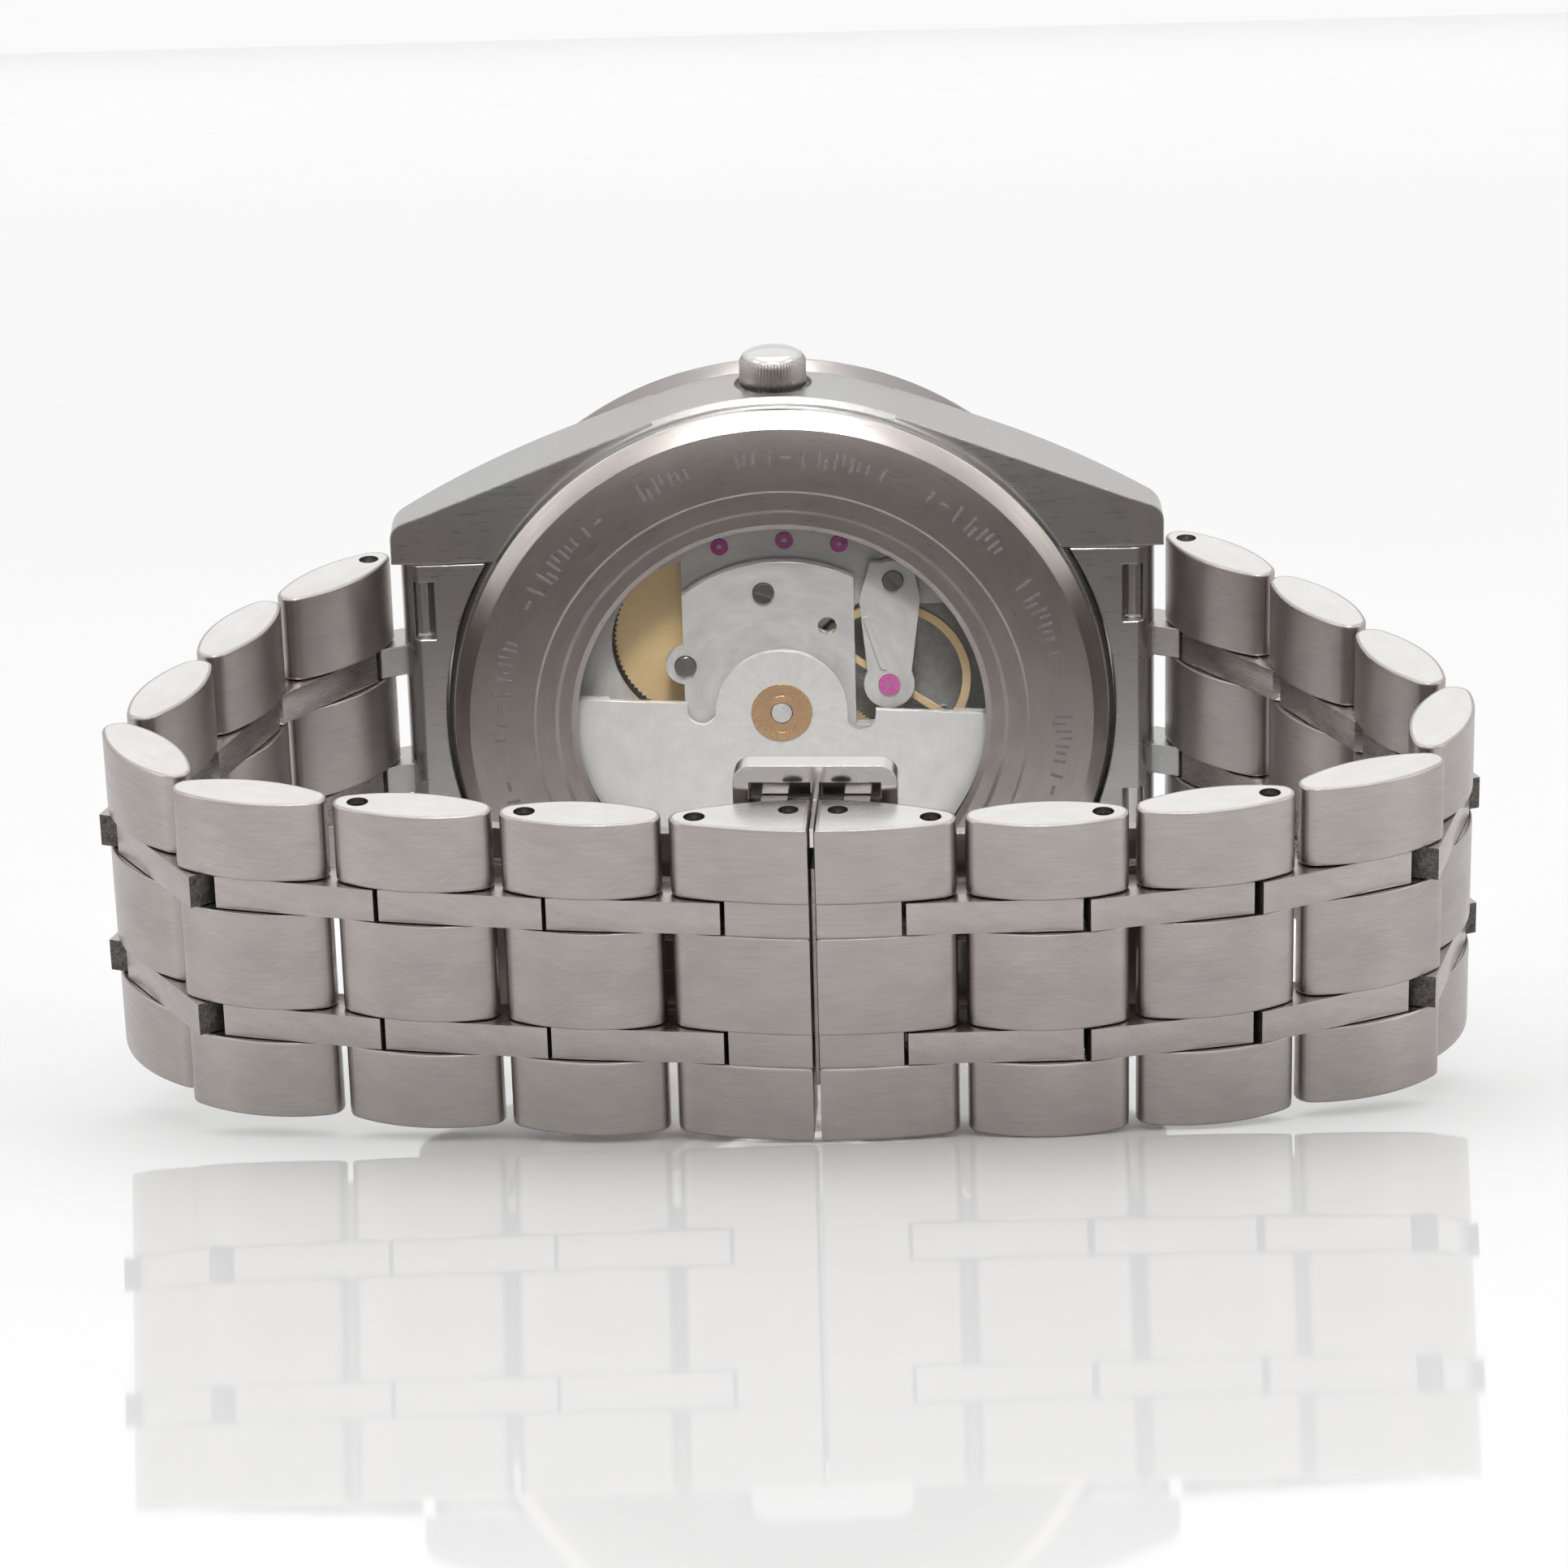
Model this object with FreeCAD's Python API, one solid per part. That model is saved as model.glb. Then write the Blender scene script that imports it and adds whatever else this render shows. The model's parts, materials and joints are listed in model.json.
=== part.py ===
import FreeCAD, Part
import math
import os

# Steel wristwatch with a five-row link bracelet and a butterfly clasp, lying on its nine o'clock side.
# Bracelet plane: x along twelve o'clock, y from the clasp towards the watch head, z towards the crown.
# The whole watch is then leaned back until both the clasp edge and the case edge touch the ground.

# ---- bracelet sizes, mm ----
linkPitch = 9.03
linkLength = 8.6
linkHalfThick = 1.65
linkTipRadius = 0.95
pinFromTip = 1.35
middleRowHalf = 2.80
plateRowWidth = 1.95
rowGap = 0.06
claspHalfWidth = 9.05
widthGrowth = 0.00018
plateHalfThick = 1.3
plateTail = 1.01
longPlateTail = 1.40
pinRadius = 0.515
pinHoleRadius = 0.575
rivetRadius = 0.5
linkCount = 7
openPinJoints = (0, 1, 2, 7)

# ---- clasp sizes, mm ----
seamHalfGap = 0.2
claspTip = 7.55
claspMidDepth = 1.85
claspInnerBulge = 2.35
firstHingeX = 6.2
armPinX = 1.3
armPinDepth = 2.75
armHalfWidth = 4.3
armHalfThick = 0.35
basePinX = 18.3
basePinDepth = 7.2
baseHalfWidth = 6.3
claspPinRadius = 0.4
buttonHalfLength = 4.35
buttonFront = 4.75
buttonBack = 6.1
buttonTop = 10.7
buttonFoot = 7.4
springTop = 3.4

# ---- how the bracelet bends, degrees away from +x as each side leaves the clasp ----
# the two links at the corner are left open and take up whatever brings the chain to the lug
bendsRight = [0.3, 11.0, 23.1, None, None, 116.4, 126.8]
bendsLeft = [7.7, 10.8, 15.1, None, None, 110.7, 129.7]
claspTurn = 3.7
endLinkDirection = 155.0
headX = -1.4
caseBackDepth = 36.3

# ---- watch head sizes, mm, measured up from the flat of the case back ----
caseRadius = 19.6
bezelRadius = 19.9
caseEdgeHeight = 2.0
caseFoot = 1.7
caseTop = 7.3
lugTipX = 22.5
lugTipY = 12.3
lugInnerY = 10.05
lugHingeX = 23.9
lugHingeHeight = 2.8
springBarX = 20.75
springBarHeight = 2.75
windowRadius = 12.0
caseBackRadius = 19.2
plateRadius = 13.0
stemHeight = 4.85
crownRadius = 1.95

# ---- where the wheels stand in the movement, x towards twelve, y towards nine ----
barrelAt = (-4.57, -3.84)
centreAt = (0.0, 0.0)
thirdAt = (2.5, 4.33)
fourthAt = (6.2, 6.53)
escapeAt = (9.2, 4.0)
palletAt = (8.5, 1.55)
balanceAt = (6.4, -1.2)
cockFootAt = (6.7, -7.75)
balanceRadius = 4.85

# ---- levels in the movement and what is set in the bridges ----
autoBridgeFront = 2.5
cockFront = 2.75
trainBridgeFront = 3.45
trainBridgeBack = 4.05
plateFloor = 5.5
rotorTurn = 3.6
rotorRimBack = 2.45
screwHeadThick = 0.48
# x, y, level it is sunk in, head radius and which way the slot points
screwPlaces = [(-0.9, -7.3, autoBridgeFront, 0.62, 20), (-5.6, -2.8, autoBridgeFront, 0.62, 75),
               (3.2, 2.6, autoBridgeFront, 0.62, 120), (cockFootAt[0], cockFootAt[1], cockFront, 0.6, 50),
               (-10.6, 2.4, trainBridgeFront, 0.55, 10), (2.2, -11.3, trainBridgeFront, 0.55, 140)]
jewelPlaces = [thirdAt, fourthAt, escapeAt, (-3.4, -9.9), (0.4, -10.2), (3.6, -9.9)]


def chainOfLinks(bends, turn, lugX):
    # directions of the seven links, and the hinges from the clasp (0) to the end link (7)
    lean = math.radians(turn)
    startX = firstHingeX * math.cos(lean) - claspMidDepth * math.sin(lean)
    startY = firstHingeX * math.sin(lean) + claspMidDepth * math.cos(lean)
    cornerX, cornerY = startX, startY
    for angle in bends[:3]:
        cornerX += linkPitch * math.cos(math.radians(angle))
        cornerY += linkPitch * math.sin(math.radians(angle))
    endX, endY = lugX, caseBackDepth + lugHingeHeight
    for angle in bends[5:]:
        endX -= linkPitch * math.cos(math.radians(angle))
        endY -= linkPitch * math.sin(math.radians(angle))
    span = math.hypot(endX - cornerX, endY - cornerY)
    middle = math.degrees(math.atan2(endY - cornerY, endX - cornerX))
    half = math.degrees(math.acos(span / (2 * linkPitch)))
    directions = [turn] + bends[:3] + [middle - half, middle + half] + bends[5:]
    hinges = [(startX, startY)]
    for angle in directions[1:]:
        lastX, lastY = hinges[-1]
        nextX = lastX + linkPitch * math.cos(math.radians(angle))
        nextY = lastY + linkPitch * math.sin(math.radians(angle))
        hinges.append((nextX, nextY))
    return directions, hinges


# the left side is worked out as if seen in a mirror
directionsRight, hingesRight = chainOfLinks(bendsRight, -claspTurn, headX + lugHingeX)
directionsLeft, hingesLeft = chainOfLinks(bendsLeft, claspTurn, lugHingeX - headX)

# the back leans until the clasp edge and the case edge rest on the same ground
leanAngle = math.degrees(math.atan2(caseRadius - claspHalfWidth, caseBackDepth + caseEdgeHeight))

xAxis = FreeCAD.Vector(1, 0, 0)
yAxis = FreeCAD.Vector(0, 1, 0)
zAxis = FreeCAD.Vector(0, 0, 1)
originPoint = FreeCAD.Vector(0, 0, 0)


def point(x, y, z=0.0):
    return FreeCAD.Vector(x, y, z)


def boxBetween(x0, x1, y0, y1, z0, z1):
    return Part.makeBox(x1 - x0, y1 - y0, z1 - z0, point(x0, y0, z0))


def roundBar(radius, z0, z1, x=0.0, y=0.0):
    return Part.makeCylinder(radius, z1 - z0, point(x, y, z0), zAxis)


def ringBetween(outerRadius, innerRadius, z0, z1, x=0.0, y=0.0):
    outer = roundBar(outerRadius, z0, z1, x, y)
    return outer.cut(roundBar(innerRadius, z0 - 0.1, z1 + 0.1, x, y))


def turned(outline):
    # a closed outline of (radius, height) spun round the z axis
    corners = [point(r, 0, z) for r, z in outline]
    corners.append(corners[0])
    face = Part.Face(Part.makePolygon(corners))
    return face.revolve(originPoint, zAxis, 360)


def flatPlate(outline, z0, z1):
    # a closed outline of (x, y) raised from z0 to z1
    corners = [point(x, y, z0) for x, y in outline]
    corners.append(corners[0])
    face = Part.Face(Part.makePolygon(corners))
    return face.extrude(point(0, 0, z1 - z0))


def joined(shapes):
    result = shapes[0]
    if len(shapes) > 1:
        result = result.multiFuse(shapes[1:])
    return result.removeSplitter()


def carved(shape, tools):
    return shape.cut(tools)


def lensFace(x0, halfLength, outerBulge, innerBulge, tipRadius):
    # two shallow arcs closed by round tips, outer side towards -y, inner side towards +y
    edges = []
    tipCentre = halfLength - tipRadius

    def bulgeArc(bulge, side):
        big = (tipCentre ** 2 + bulge ** 2 - tipRadius ** 2) / (2 * (bulge - tipRadius))
        reach = math.hypot(tipCentre, big - bulge)
        tangentX = big * tipCentre / reach
        tangentY = (bulge - big) + big * (big - bulge) / reach
        return point(tangentX, side * tangentY), point(0, side * bulge)

    outerEnd, outerTop = bulgeArc(outerBulge, -1)
    innerEnd, innerTop = bulgeArc(innerBulge, 1)
    outerStart = point(-outerEnd.x, outerEnd.y)
    innerStart = point(-innerEnd.x, innerEnd.y)
    edges.append(Part.Arc(outerStart, outerTop, outerEnd).toShape())
    edges.append(Part.Arc(outerEnd, point(halfLength, 0), innerEnd).toShape())
    edges.append(Part.Arc(innerEnd, innerTop, innerStart).toShape())
    edges.append(Part.Arc(innerStart, point(-halfLength, 0), outerStart).toShape())
    face = Part.Face(Part.Wire(edges))
    face.translate(point(x0, 0, 0))
    return face


def halfWidthAt(distance):
    # the bracelet widens slowly at the clasp and faster towards the lugs
    return claspHalfWidth + widthGrowth * distance ** 2


def sideTrim(x0, x1, distance0, distance1):
    # a flat wedge as wide as the bracelet, used to give the outer rows their slant
    w0 = halfWidthAt(distance0)
    w1 = halfWidthAt(distance1)
    outline = [point(x0, -9, -w0), point(x1, -9, -w1), point(x1, -9, w1), point(x0, -9, w0)]
    outline.append(outline[0])
    return Part.Face(Part.makePolygon(outline)).extrude(point(0, 18, 0))


def capArc(radius, height, rise):
    # arc from a rim up to the axis, part of a sphere centred on the axis
    sphere = (radius ** 2 + rise ** 2) / (2 * rise)
    centre = height + rise - sphere
    lean = 0.5 * math.asin(radius / sphere)
    half = point(sphere * math.sin(lean), 0, centre + sphere * math.cos(lean))
    return Part.Arc(point(radius, 0, height), half, point(0, 0, height + rise)).toShape()


def softened(shape, radius, test):
    # round only the edges the test picks, and leave the shape alone if that is not possible
    picked = [edge for edge in shape.Edges if test(edge)]
    try:
        rounded = shape.makeFillet(radius, picked)
        if rounded.isValid() and rounded.Volume > 0:
            return rounded
    except Exception:
        pass
    return shape


def rowBlocks(face, endFace0, endFace1, distance0):
    # middle row and two outer rows cut from one long lens bar
    height = 11.0
    bar = face.extrude(point(0, 0, 2 * height))
    bar.translate(point(0, 0, -height))
    trim = sideTrim(endFace0, endFace1, distance0 + endFace0, distance0 + endFace1)
    bar = bar.common(trim)
    outerStart = middleRowHalf + plateRowWidth
    blocks = [bar.common(boxBetween(endFace0, endFace1, -9, 9, -middleRowHalf, middleRowHalf))]
    blocks.append(bar.common(boxBetween(endFace0, endFace1, -9, 9, outerStart, height)))
    blocks.append(bar.common(boxBetween(endFace0, endFace1, -9, 9, -height, -outerStart)))
    return blocks


def platePair(tail, farEnd):
    # two flat bars, square on the outside and sloped inside so the joint can fold inwards
    outline = [(-tail, -plateHalfThick), (farEnd, -plateHalfThick), (farEnd, plateHalfThick)]
    outline.append((-0.05, plateHalfThick))
    outline.append((-tail, 0.3))
    low = middleRowHalf + rowGap
    high = middleRowHalf + plateRowWidth - rowGap
    plate = flatPlate(outline, low, high)
    other = flatPlate(outline, -high, -low)
    return [plate, other]


def pinHole(x, y, wallHalf, isOpen, radius):
    # a cross hole, either right through or stopping short of the sides
    reach = 12.0
    if not isOpen:
        reach = wallHalf - 0.8
    return roundBar(radius, -reach, reach, x, y)


def makeLink(index):
    # link with its own cross pin, drawn with the pin on the origin and the far hinge on +x
    startDistance = firstHingeX + linkPitch * (index - 1)
    blockStart = pinFromTip + (linkPitch - linkLength)
    blockEnd = blockStart + linkLength
    blockMiddle = 0.5 * (blockStart + blockEnd)
    face = lensFace(blockMiddle, linkLength / 2, linkHalfThick, linkHalfThick, linkTipRadius)
    blocks = rowBlocks(face, blockStart - 0.1, blockEnd + 0.1, startDistance)
    tail = longPlateTail if index == 1 else plateTail
    plates = platePair(tail, linkPitch - plateTail - 0.18)
    rivetReach = halfWidthAt(startDistance) - 0.9
    rivet = roundBar(rivetRadius, -rivetReach, rivetReach, 6.3, 0)
    body = joined(blocks + plates + [rivet])
    farWall = halfWidthAt(startDistance + linkPitch)
    nearWall = halfWidthAt(startDistance)
    body = carved(body, pinHole(linkPitch, 0, farWall, index in openPinJoints, pinHoleRadius))
    body = carved(body, roundBar(pinRadius, -6, 6, 0, 0))
    pinReach = nearWall - (0.4 if (index - 1) in openPinJoints else 0.9)
    pin = roundBar(pinRadius, -pinReach, pinReach, 0, 0)
    return Part.Compound([body, pin])


def makeClaspLink(withFullPin):
    # half of the folding clasp cover, drawn for the right hand side
    face = lensFace(0, claspTip, claspMidDepth, claspInnerBulge, linkTipRadius)
    face.translate(point(0, claspMidDepth, 0))
    bar = face.extrude(point(0, 0, 22))
    bar.translate(point(0, 0, -11))
    bar = bar.common(sideTrim(seamHalfGap, claspTip + 0.1, seamHalfGap, claspTip))
    slotStart = claspTip - 2.9
    low = middleRowHalf
    high = middleRowHalf + plateRowWidth
    tools = []
    for side in (1, -1):
        z0 = min(side * low, side * high)
        z1 = max(side * low, side * high)
        tools.append(boxBetween(slotStart, claspTip + 1, -1, 6, z0, z1))
        # the row between is set a touch lower than the broad rows
        step = lensFace(0, claspTip - 0.18, claspMidDepth - 0.18, claspInnerBulge, linkTipRadius)
        step.translate(point(0, claspMidDepth, 0))
        keep = step.extrude(point(0, 0, z1 - z0))
        keep.translate(point(0, 0, z0))
        tools.append(boxBetween(-1, slotStart + 0.01, -1, claspMidDepth, z0, z1).cut(keep))
    # open bay on the inside for the folding arm and its barrel
    bay = armHalfWidth + 0.2
    tools.append(boxBetween(-1, claspTip + 1, 2.9, 6, -bay, bay))
    tools.append(boxBetween(-1, armPinX + 1.4, 1.5, 6, -bay, bay))
    tools.append(roundBar(pinHoleRadius, -12, 12, firstHingeX, claspMidDepth))
    tools.append(roundBar(pinRadius, -12, 12, armPinX, armPinDepth))
    body = carved(bar, tools)
    # catch hook that reaches back into the push button
    shaft = boxBetween(1.5, 2.9, 3.6, 5.72, 8.2, 8.6)
    barb = boxBetween(1.5, 2.9, 5.3, 5.72, 7.95, 8.3)
    body = joined([body, shaft, barb])
    pinReach = claspHalfWidth - 0.4
    if withFullPin:
        pins = [roundBar(pinRadius, -pinReach, pinReach, armPinX, armPinDepth)]
    else:
        pins = [roundBar(pinRadius, bay + 0.15, pinReach, armPinX, armPinDepth)]
        pins.append(roundBar(pinRadius, -pinReach, -bay - 0.15, armPinX, armPinDepth))
    return Part.Compound([body] + pins)


def curvedStrip(start, middle, end, halfThick, z0, z1):
    # a bar bent along an arc through three points
    def shifted(offset):
        corners = []
        for x, y in (start, middle, end):
            corners.append(point(x, y + offset, z0))
        return corners
    lower = shifted(-halfThick)
    upper = shifted(halfThick)
    edges = [Part.Arc(lower[0], lower[1], lower[2]).toShape()]
    edges.append(Part.makeLine(lower[2], upper[2]))
    edges.append(Part.Arc(upper[2], upper[1], upper[0]).toShape())
    edges.append(Part.makeLine(upper[0], lower[0]))
    return Part.Face(Part.Wire(edges)).extrude(point(0, 0, z1 - z0))


def makeClaspArm():
    # folding arm between the clasp cover and the base, right hand side
    w = armHalfWidth
    strip = curvedStrip((armPinX + 0.3, 3.3), (9.0, 4.65), (basePinX, 7.1), armHalfThick, -w, w)
    coverBarrel = roundBar(0.9, -w, w, armPinX, armPinDepth)
    baseBarrel = roundBar(0.9, -w, w, basePinX, basePinDepth)
    body = joined([strip, coverBarrel, baseBarrel])
    bores = [roundBar(pinHoleRadius, -9, 9, armPinX, armPinDepth)]
    bores.append(roundBar(claspPinRadius + 0.05, -9, 9, basePinX, basePinDepth))
    # four small windows lighten the arm and leave a frame round them
    for start in (4.6, 10.2):
        bores.append(boxBetween(start, start + 4.4, 0, 12, 0.9, 3.2))
        bores.append(boxBetween(start, start + 4.4, 0, 12, -3.2, -0.9))
    return carved(body, bores)


def makeClaspBase():
    # curved inner plate that stays against the wrist, forked at both ends
    w = baseHalfWidth
    body = curvedStrip((-basePinX, basePinDepth), (0, 6.15), (basePinX, basePinDepth), 0.4, -w, w)
    slot = armHalfWidth + 0.2
    tools = []
    for side in (1, -1):
        near = side * 12.2
        far = side * 21.0
        tools.append(boxBetween(min(near, far), max(near, far), 4, 9, -slot, slot))
        tools.append(roundBar(claspPinRadius, -12, 12, side * basePinX, basePinDepth))
    sleeve = boxBetween(-1.9, 1.9, 4.65, 6.1, 0.5, 6.3)
    spine = boxBetween(-0.11, 0.11, 1.3, 5.9, -6.3, 6.3)
    barrels = []
    for side in (1, -1):
        barrels.append(roundBar(0.9, slot, w, side * basePinX, basePinDepth))
        barrels.append(roundBar(0.9, -w, -slot, side * basePinX, basePinDepth))
    body = joined([body, sleeve, spine] + barrels)
    tools.append(boxBetween(-1.3, 1.3, 4.95, 5.75, 0.9, 6.4))
    return carved(body, tools)


def makeClaspPins():
    # the two cross pins held in the forks of the base
    pins = []
    for side in (1, -1):
        pins.append(roundBar(claspPinRadius, -6.1, 6.1, side * basePinX, basePinDepth))
    return Part.Compound(pins)


def makeClaspButton():
    # push button on the crown side, with a pocket each side of a thin web for the catch hooks
    plate = boxBetween(-buttonHalfLength, buttonHalfLength, buttonFront, buttonBack, buttonFoot, buttonTop)
    plate = softened(plate, 0.95, lambda e: abs(e.BoundBox.YLength - 1.35) < 0.01 and e.CenterOfMass.z > 10)
    tools = []
    for side in (1, -1):
        near = side * 0.22
        far = side * 3.5
        x0 = min(near, far)
        x1 = max(near, far)
        tools.append(boxBetween(x0, x1, 4.0, 5.85, 8.12, 9.75))
        tools.append(boxBetween(x0, x1, 5.2, 5.85, 7.75, 9.75))
    plate = carved(plate, tools)
    web = boxBetween(-0.12, 0.12, 0.9, buttonFront + 0.1, 7.7, 8.75)
    tongue = boxBetween(-1.24, 1.24, 5.0, 5.7, springTop, buttonFoot + 0.1)
    return joined([plate, web, tongue])


def makeButtonSpring():
    # flat strip folded back and forth that pushes the button back out
    halfReach = 0.85
    strip = 0.14
    bottom = 0.93
    folds = 6
    rise = (springTop - bottom - strip) / folds
    leaves = []
    for fold in range(folds + 1):
        z = bottom + rise * fold
        leaves.append(boxBetween(-halfReach, halfReach, 5.1, 5.6, z, z + strip))
    for fold in range(folds):
        z = bottom + rise * fold
        end = -halfReach if fold % 2 else halfReach - strip
        leaves.append(boxBetween(end, end + strip, 5.1, 5.6, z, z + rise + strip))
    return joined(leaves)


def makeEndLink():
    # solid link between the lugs, drawn in the bracelet plane on the right hand side
    hingeX = lugHingeX
    hingeY = caseBackDepth + lugHingeHeight
    base = caseBackDepth
    width = 9.95
    outline = [point(15.0, base + 1.55), point(21.0, base + 1.45)]
    edges = [Part.makeLine(outline[0], outline[1])]
    tipLow = outline[1]
    tipHigh = point(21.7, base + 4.35)
    edges.append(Part.Arc(tipLow, point(22.0, base + 2.7), tipHigh).toShape())
    shoulder = point(15.0, base + 6.6)
    edges.append(Part.Arc(tipHigh, point(18.8, base + 5.9), shoulder).toShape())
    edges.append(Part.makeLine(shoulder, outline[0]))
    body = Part.Face(Part.Wire(edges)).extrude(point(0, 0, 2 * width))
    body.translate(point(0, 0, -width))
    plates = platePair(plateTail, 3.2)
    for plate in plates:
        plate.rotate(originPoint, zAxis, endLinkDirection)
        plate.translate(point(hingeX, hingeY, 0))
    tools = [Part.makeCylinder(caseRadius + 0.12, 20, point(0, base - 5, 0), yAxis)]
    # shallow lines between the rows
    for side in (1, -1):
        for line in (middleRowHalf, middleRowHalf + plateRowWidth):
            z0 = side * line - 0.06
            outer = body.copy()
            outer.translate(point(-0.18, -0.16, 0))
            slab = boxBetween(14, 23, base + 1, base + 9, z0, z0 + 0.12)
            tools.append(slab.cut(outer))
    body = carved(body, tools)
    body = joined([body] + plates)
    bars = [roundBar(0.78, -11, 11, springBarX, base + springBarHeight)]
    # two open pockets underneath show the spring bar
    bars.append(boxBetween(20.1, 21.3, base, base + springBarHeight, 5.3, 8.9))
    bars.append(boxBetween(20.1, 21.3, base, base + springBarHeight, -8.9, -5.3))
    bars.append(roundBar(pinRadius, -6, 6, hingeX, hingeY))
    body = carved(body, bars)
    pinReach = halfWidthAt(firstHingeX + linkCount * linkPitch) - 0.4
    pin = roundBar(pinRadius, -pinReach, pinReach, hingeX, hingeY)
    return Part.Compound([body, pin])


def makeSpringBars():
    # sprung bars with thin tips that sit in the lug holes
    bars = []
    for side in (1, -1):
        x = side * springBarX
        y = caseBackDepth + springBarHeight
        bar = roundBar(0.75, -9.5, 9.5, x, y)
        tips = roundBar(0.4, -10.9, 10.9, x, y)
        collar = roundBar(0.6, -9.8, 9.8, x, y)
        bars.append(joined([bar, tips, collar]))
    return Part.Compound(bars)


# ---- watch head, drawn lying flat: x to twelve, y to nine, z towards the dial ----

def lugHorns():
    # four lugs whose flanks run straight off the round case
    slant = math.atan2(lugTipY, lugTipX)
    swing = math.acos(caseRadius / math.hypot(lugTipX, lugTipY))
    touch = slant + swing
    plan = [(11.0, lugInnerY), (lugTipX, lugInnerY), (lugTipX, lugTipY)]
    plan.append((caseRadius * math.cos(touch), caseRadius * math.sin(touch)))
    plan.append((5.0, 14.5))
    horn = flatPlate(plan, 0, 9)
    horn = softened(horn, 1.1, lambda e: e.CenterOfMass.x > lugTipX - 0.01 and e.CenterOfMass.y > 12)
    rise = [point(4, 0, caseFoot + 0.2), point(20.5, 0, 1.35), point(lugTipX, 0, 1.5)]
    edges = [Part.makeLine(rise[0], rise[1]), Part.makeLine(rise[1], rise[2])]
    tipTop = point(lugTipX, 0, 3.7)
    edges.append(Part.makeLine(rise[2], tipTop))
    edges.append(Part.Arc(tipTop, point(18.6, 0, 5.9), point(12.5, 0, caseTop - 0.35)).toShape())
    edges.append(Part.makeLine(point(12.5, 0, caseTop - 0.35), point(4, 0, caseTop - 0.35)))
    edges.append(Part.makeLine(point(4, 0, caseTop - 0.35), rise[0]))
    side = Part.Face(Part.Wire(edges)).extrude(point(0, 25, 0))
    horn = horn.common(side)
    across = horn.mirror(originPoint, yAxis)
    pair = [horn, across]
    pair.append(horn.mirror(originPoint, xAxis))
    pair.append(across.mirror(originPoint, xAxis))
    return pair


def makeMidCase():
    # round middle of the case with lugs, bored for the movement and the winding stem
    band = turned([(14.5, caseFoot), (19.3, caseFoot), (caseRadius, caseEdgeHeight),
                   (caseRadius, 6.6), (19.15, caseTop), (14.5, caseTop)])
    body = joined([band] + lugHorns())
    tools = [roundBar(15.0, 0, 9)]
    tools.append(roundBar(16.5, 0, 3.3))
    tools.append(roundBar(caseBackRadius + 0.1, 0, caseFoot))
    tools.append(Part.makeCylinder(1.05, 8, point(0, -13, stemHeight), point(0, -1, 0)))
    tools.append(Part.makeCylinder(2.25, 3, point(0, -caseRadius + 0.55, stemHeight), point(0, -1, 0)))
    for sideX in (1, -1):
        tools.append(Part.makeCylinder(0.45, 22.2, point(sideX * springBarX, -11.1, springBarHeight), yAxis))
    body = carved(body, tools)
    return body


def makeBezel():
    # polished ring that flares out over the case, with a hollow flank and a ledge for the crystal
    start = point(19.05, 0, caseTop)
    rim = point(bezelRadius, 0, 8.0)
    crest = point(17.1, 0, 9.45)
    edges = [Part.makeLine(point(15.0, 0, caseTop), start), Part.makeLine(start, rim)]
    edges.append(Part.Arc(rim, point(18.2, 0, 8.5), crest).toShape())
    edges.append(Part.makeLine(crest, point(15.9, 0, 9.45)))
    edges.append(Part.makeLine(point(15.9, 0, 9.45), point(15.9, 0, 8.3)))
    edges.append(Part.makeLine(point(15.9, 0, 8.3), point(15.0, 0, 8.3)))
    edges.append(Part.makeLine(point(15.0, 0, 8.3), point(15.0, 0, caseTop)))
    return Part.Face(Part.Wire(edges)).revolve(originPoint, zAxis, 360)


def makeCrystal():
    # slightly domed sapphire
    edges = [Part.makeLine(point(0, 0, 8.4), point(15.55, 0, 8.4))]
    edges.append(Part.makeLine(point(15.55, 0, 8.4), point(15.55, 0, 9.45)))
    edges.append(Part.makeLine(point(15.55, 0, 9.45), point(15.2, 0, 9.75)))
    dome = capArc(15.2, 9.75, 0.53)
    edges.append(dome)
    edges.append(Part.makeLine(point(0, 0, 10.28), point(0, 0, 8.4)))
    return Part.Face(Part.Wire(edges)).revolve(originPoint, zAxis, 360)


def makeCrystalGasket():
    return turned([(15.55, 8.3), (15.9, 8.3), (15.9, 9.4), (15.55, 9.4)]).fuse(
        turned([(15.1, 8.3), (15.6, 8.3), (15.6, 8.4), (15.1, 8.4)])).removeSplitter()


def makeDialRing():
    # sloped flange between the dial and the crystal
    return turned([(14.95, 6.9), (14.95, 8.25), (14.55, 8.25), (13.7, 6.9)])


def makeDial():
    return carved(roundBar(14.8, 6.5, 6.9), [roundBar(0.95, 6, 8)])


def makeDialMarkers():
    # twelve applied batons, the one at twelve doubled, and sixty fine minute pips
    markers = []
    for hour in range(12):
        offsets = (0.0,)
        if hour == 0:
            offsets = (-0.45, 0.45)
        for offset in offsets:
            baton = boxBetween(9.6, 12.6, offset - 0.3, offset + 0.3, 6.9, 7.15)
            baton.rotate(originPoint, zAxis, -30 * hour)
            markers.append(baton)
    for minute in range(60):
        if minute % 5:
            pip = boxBetween(12.75, 13.25, -0.05, 0.05, 6.9, 6.95)
            pip.rotate(originPoint, zAxis, -6 * minute)
            markers.append(pip)
    return Part.Compound(markers)


def handShape(length, tailLength, width, z0, z1, hubRadius):
    # leaf shaped hand pointing to +x
    outline = [(-tailLength, -width * 0.35), (0, -width / 2), (length * 0.75, -width / 2), (length, 0)]
    outline += [(length * 0.75, width / 2), (0, width / 2), (-tailLength, width * 0.35)]
    return joined([flatPlate(outline, z0, z1), roundBar(hubRadius, z0, z1)])


def makeHourHand():
    body = joined([handShape(7.6, 1.6, 1.3, 7.25, 7.4, 1.15), roundBar(0.85, 6.45, 7.4)])
    body = carved(body, [roundBar(0.57, 6, 8)])
    body.rotate(originPoint, zAxis, 55)
    return body


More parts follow.
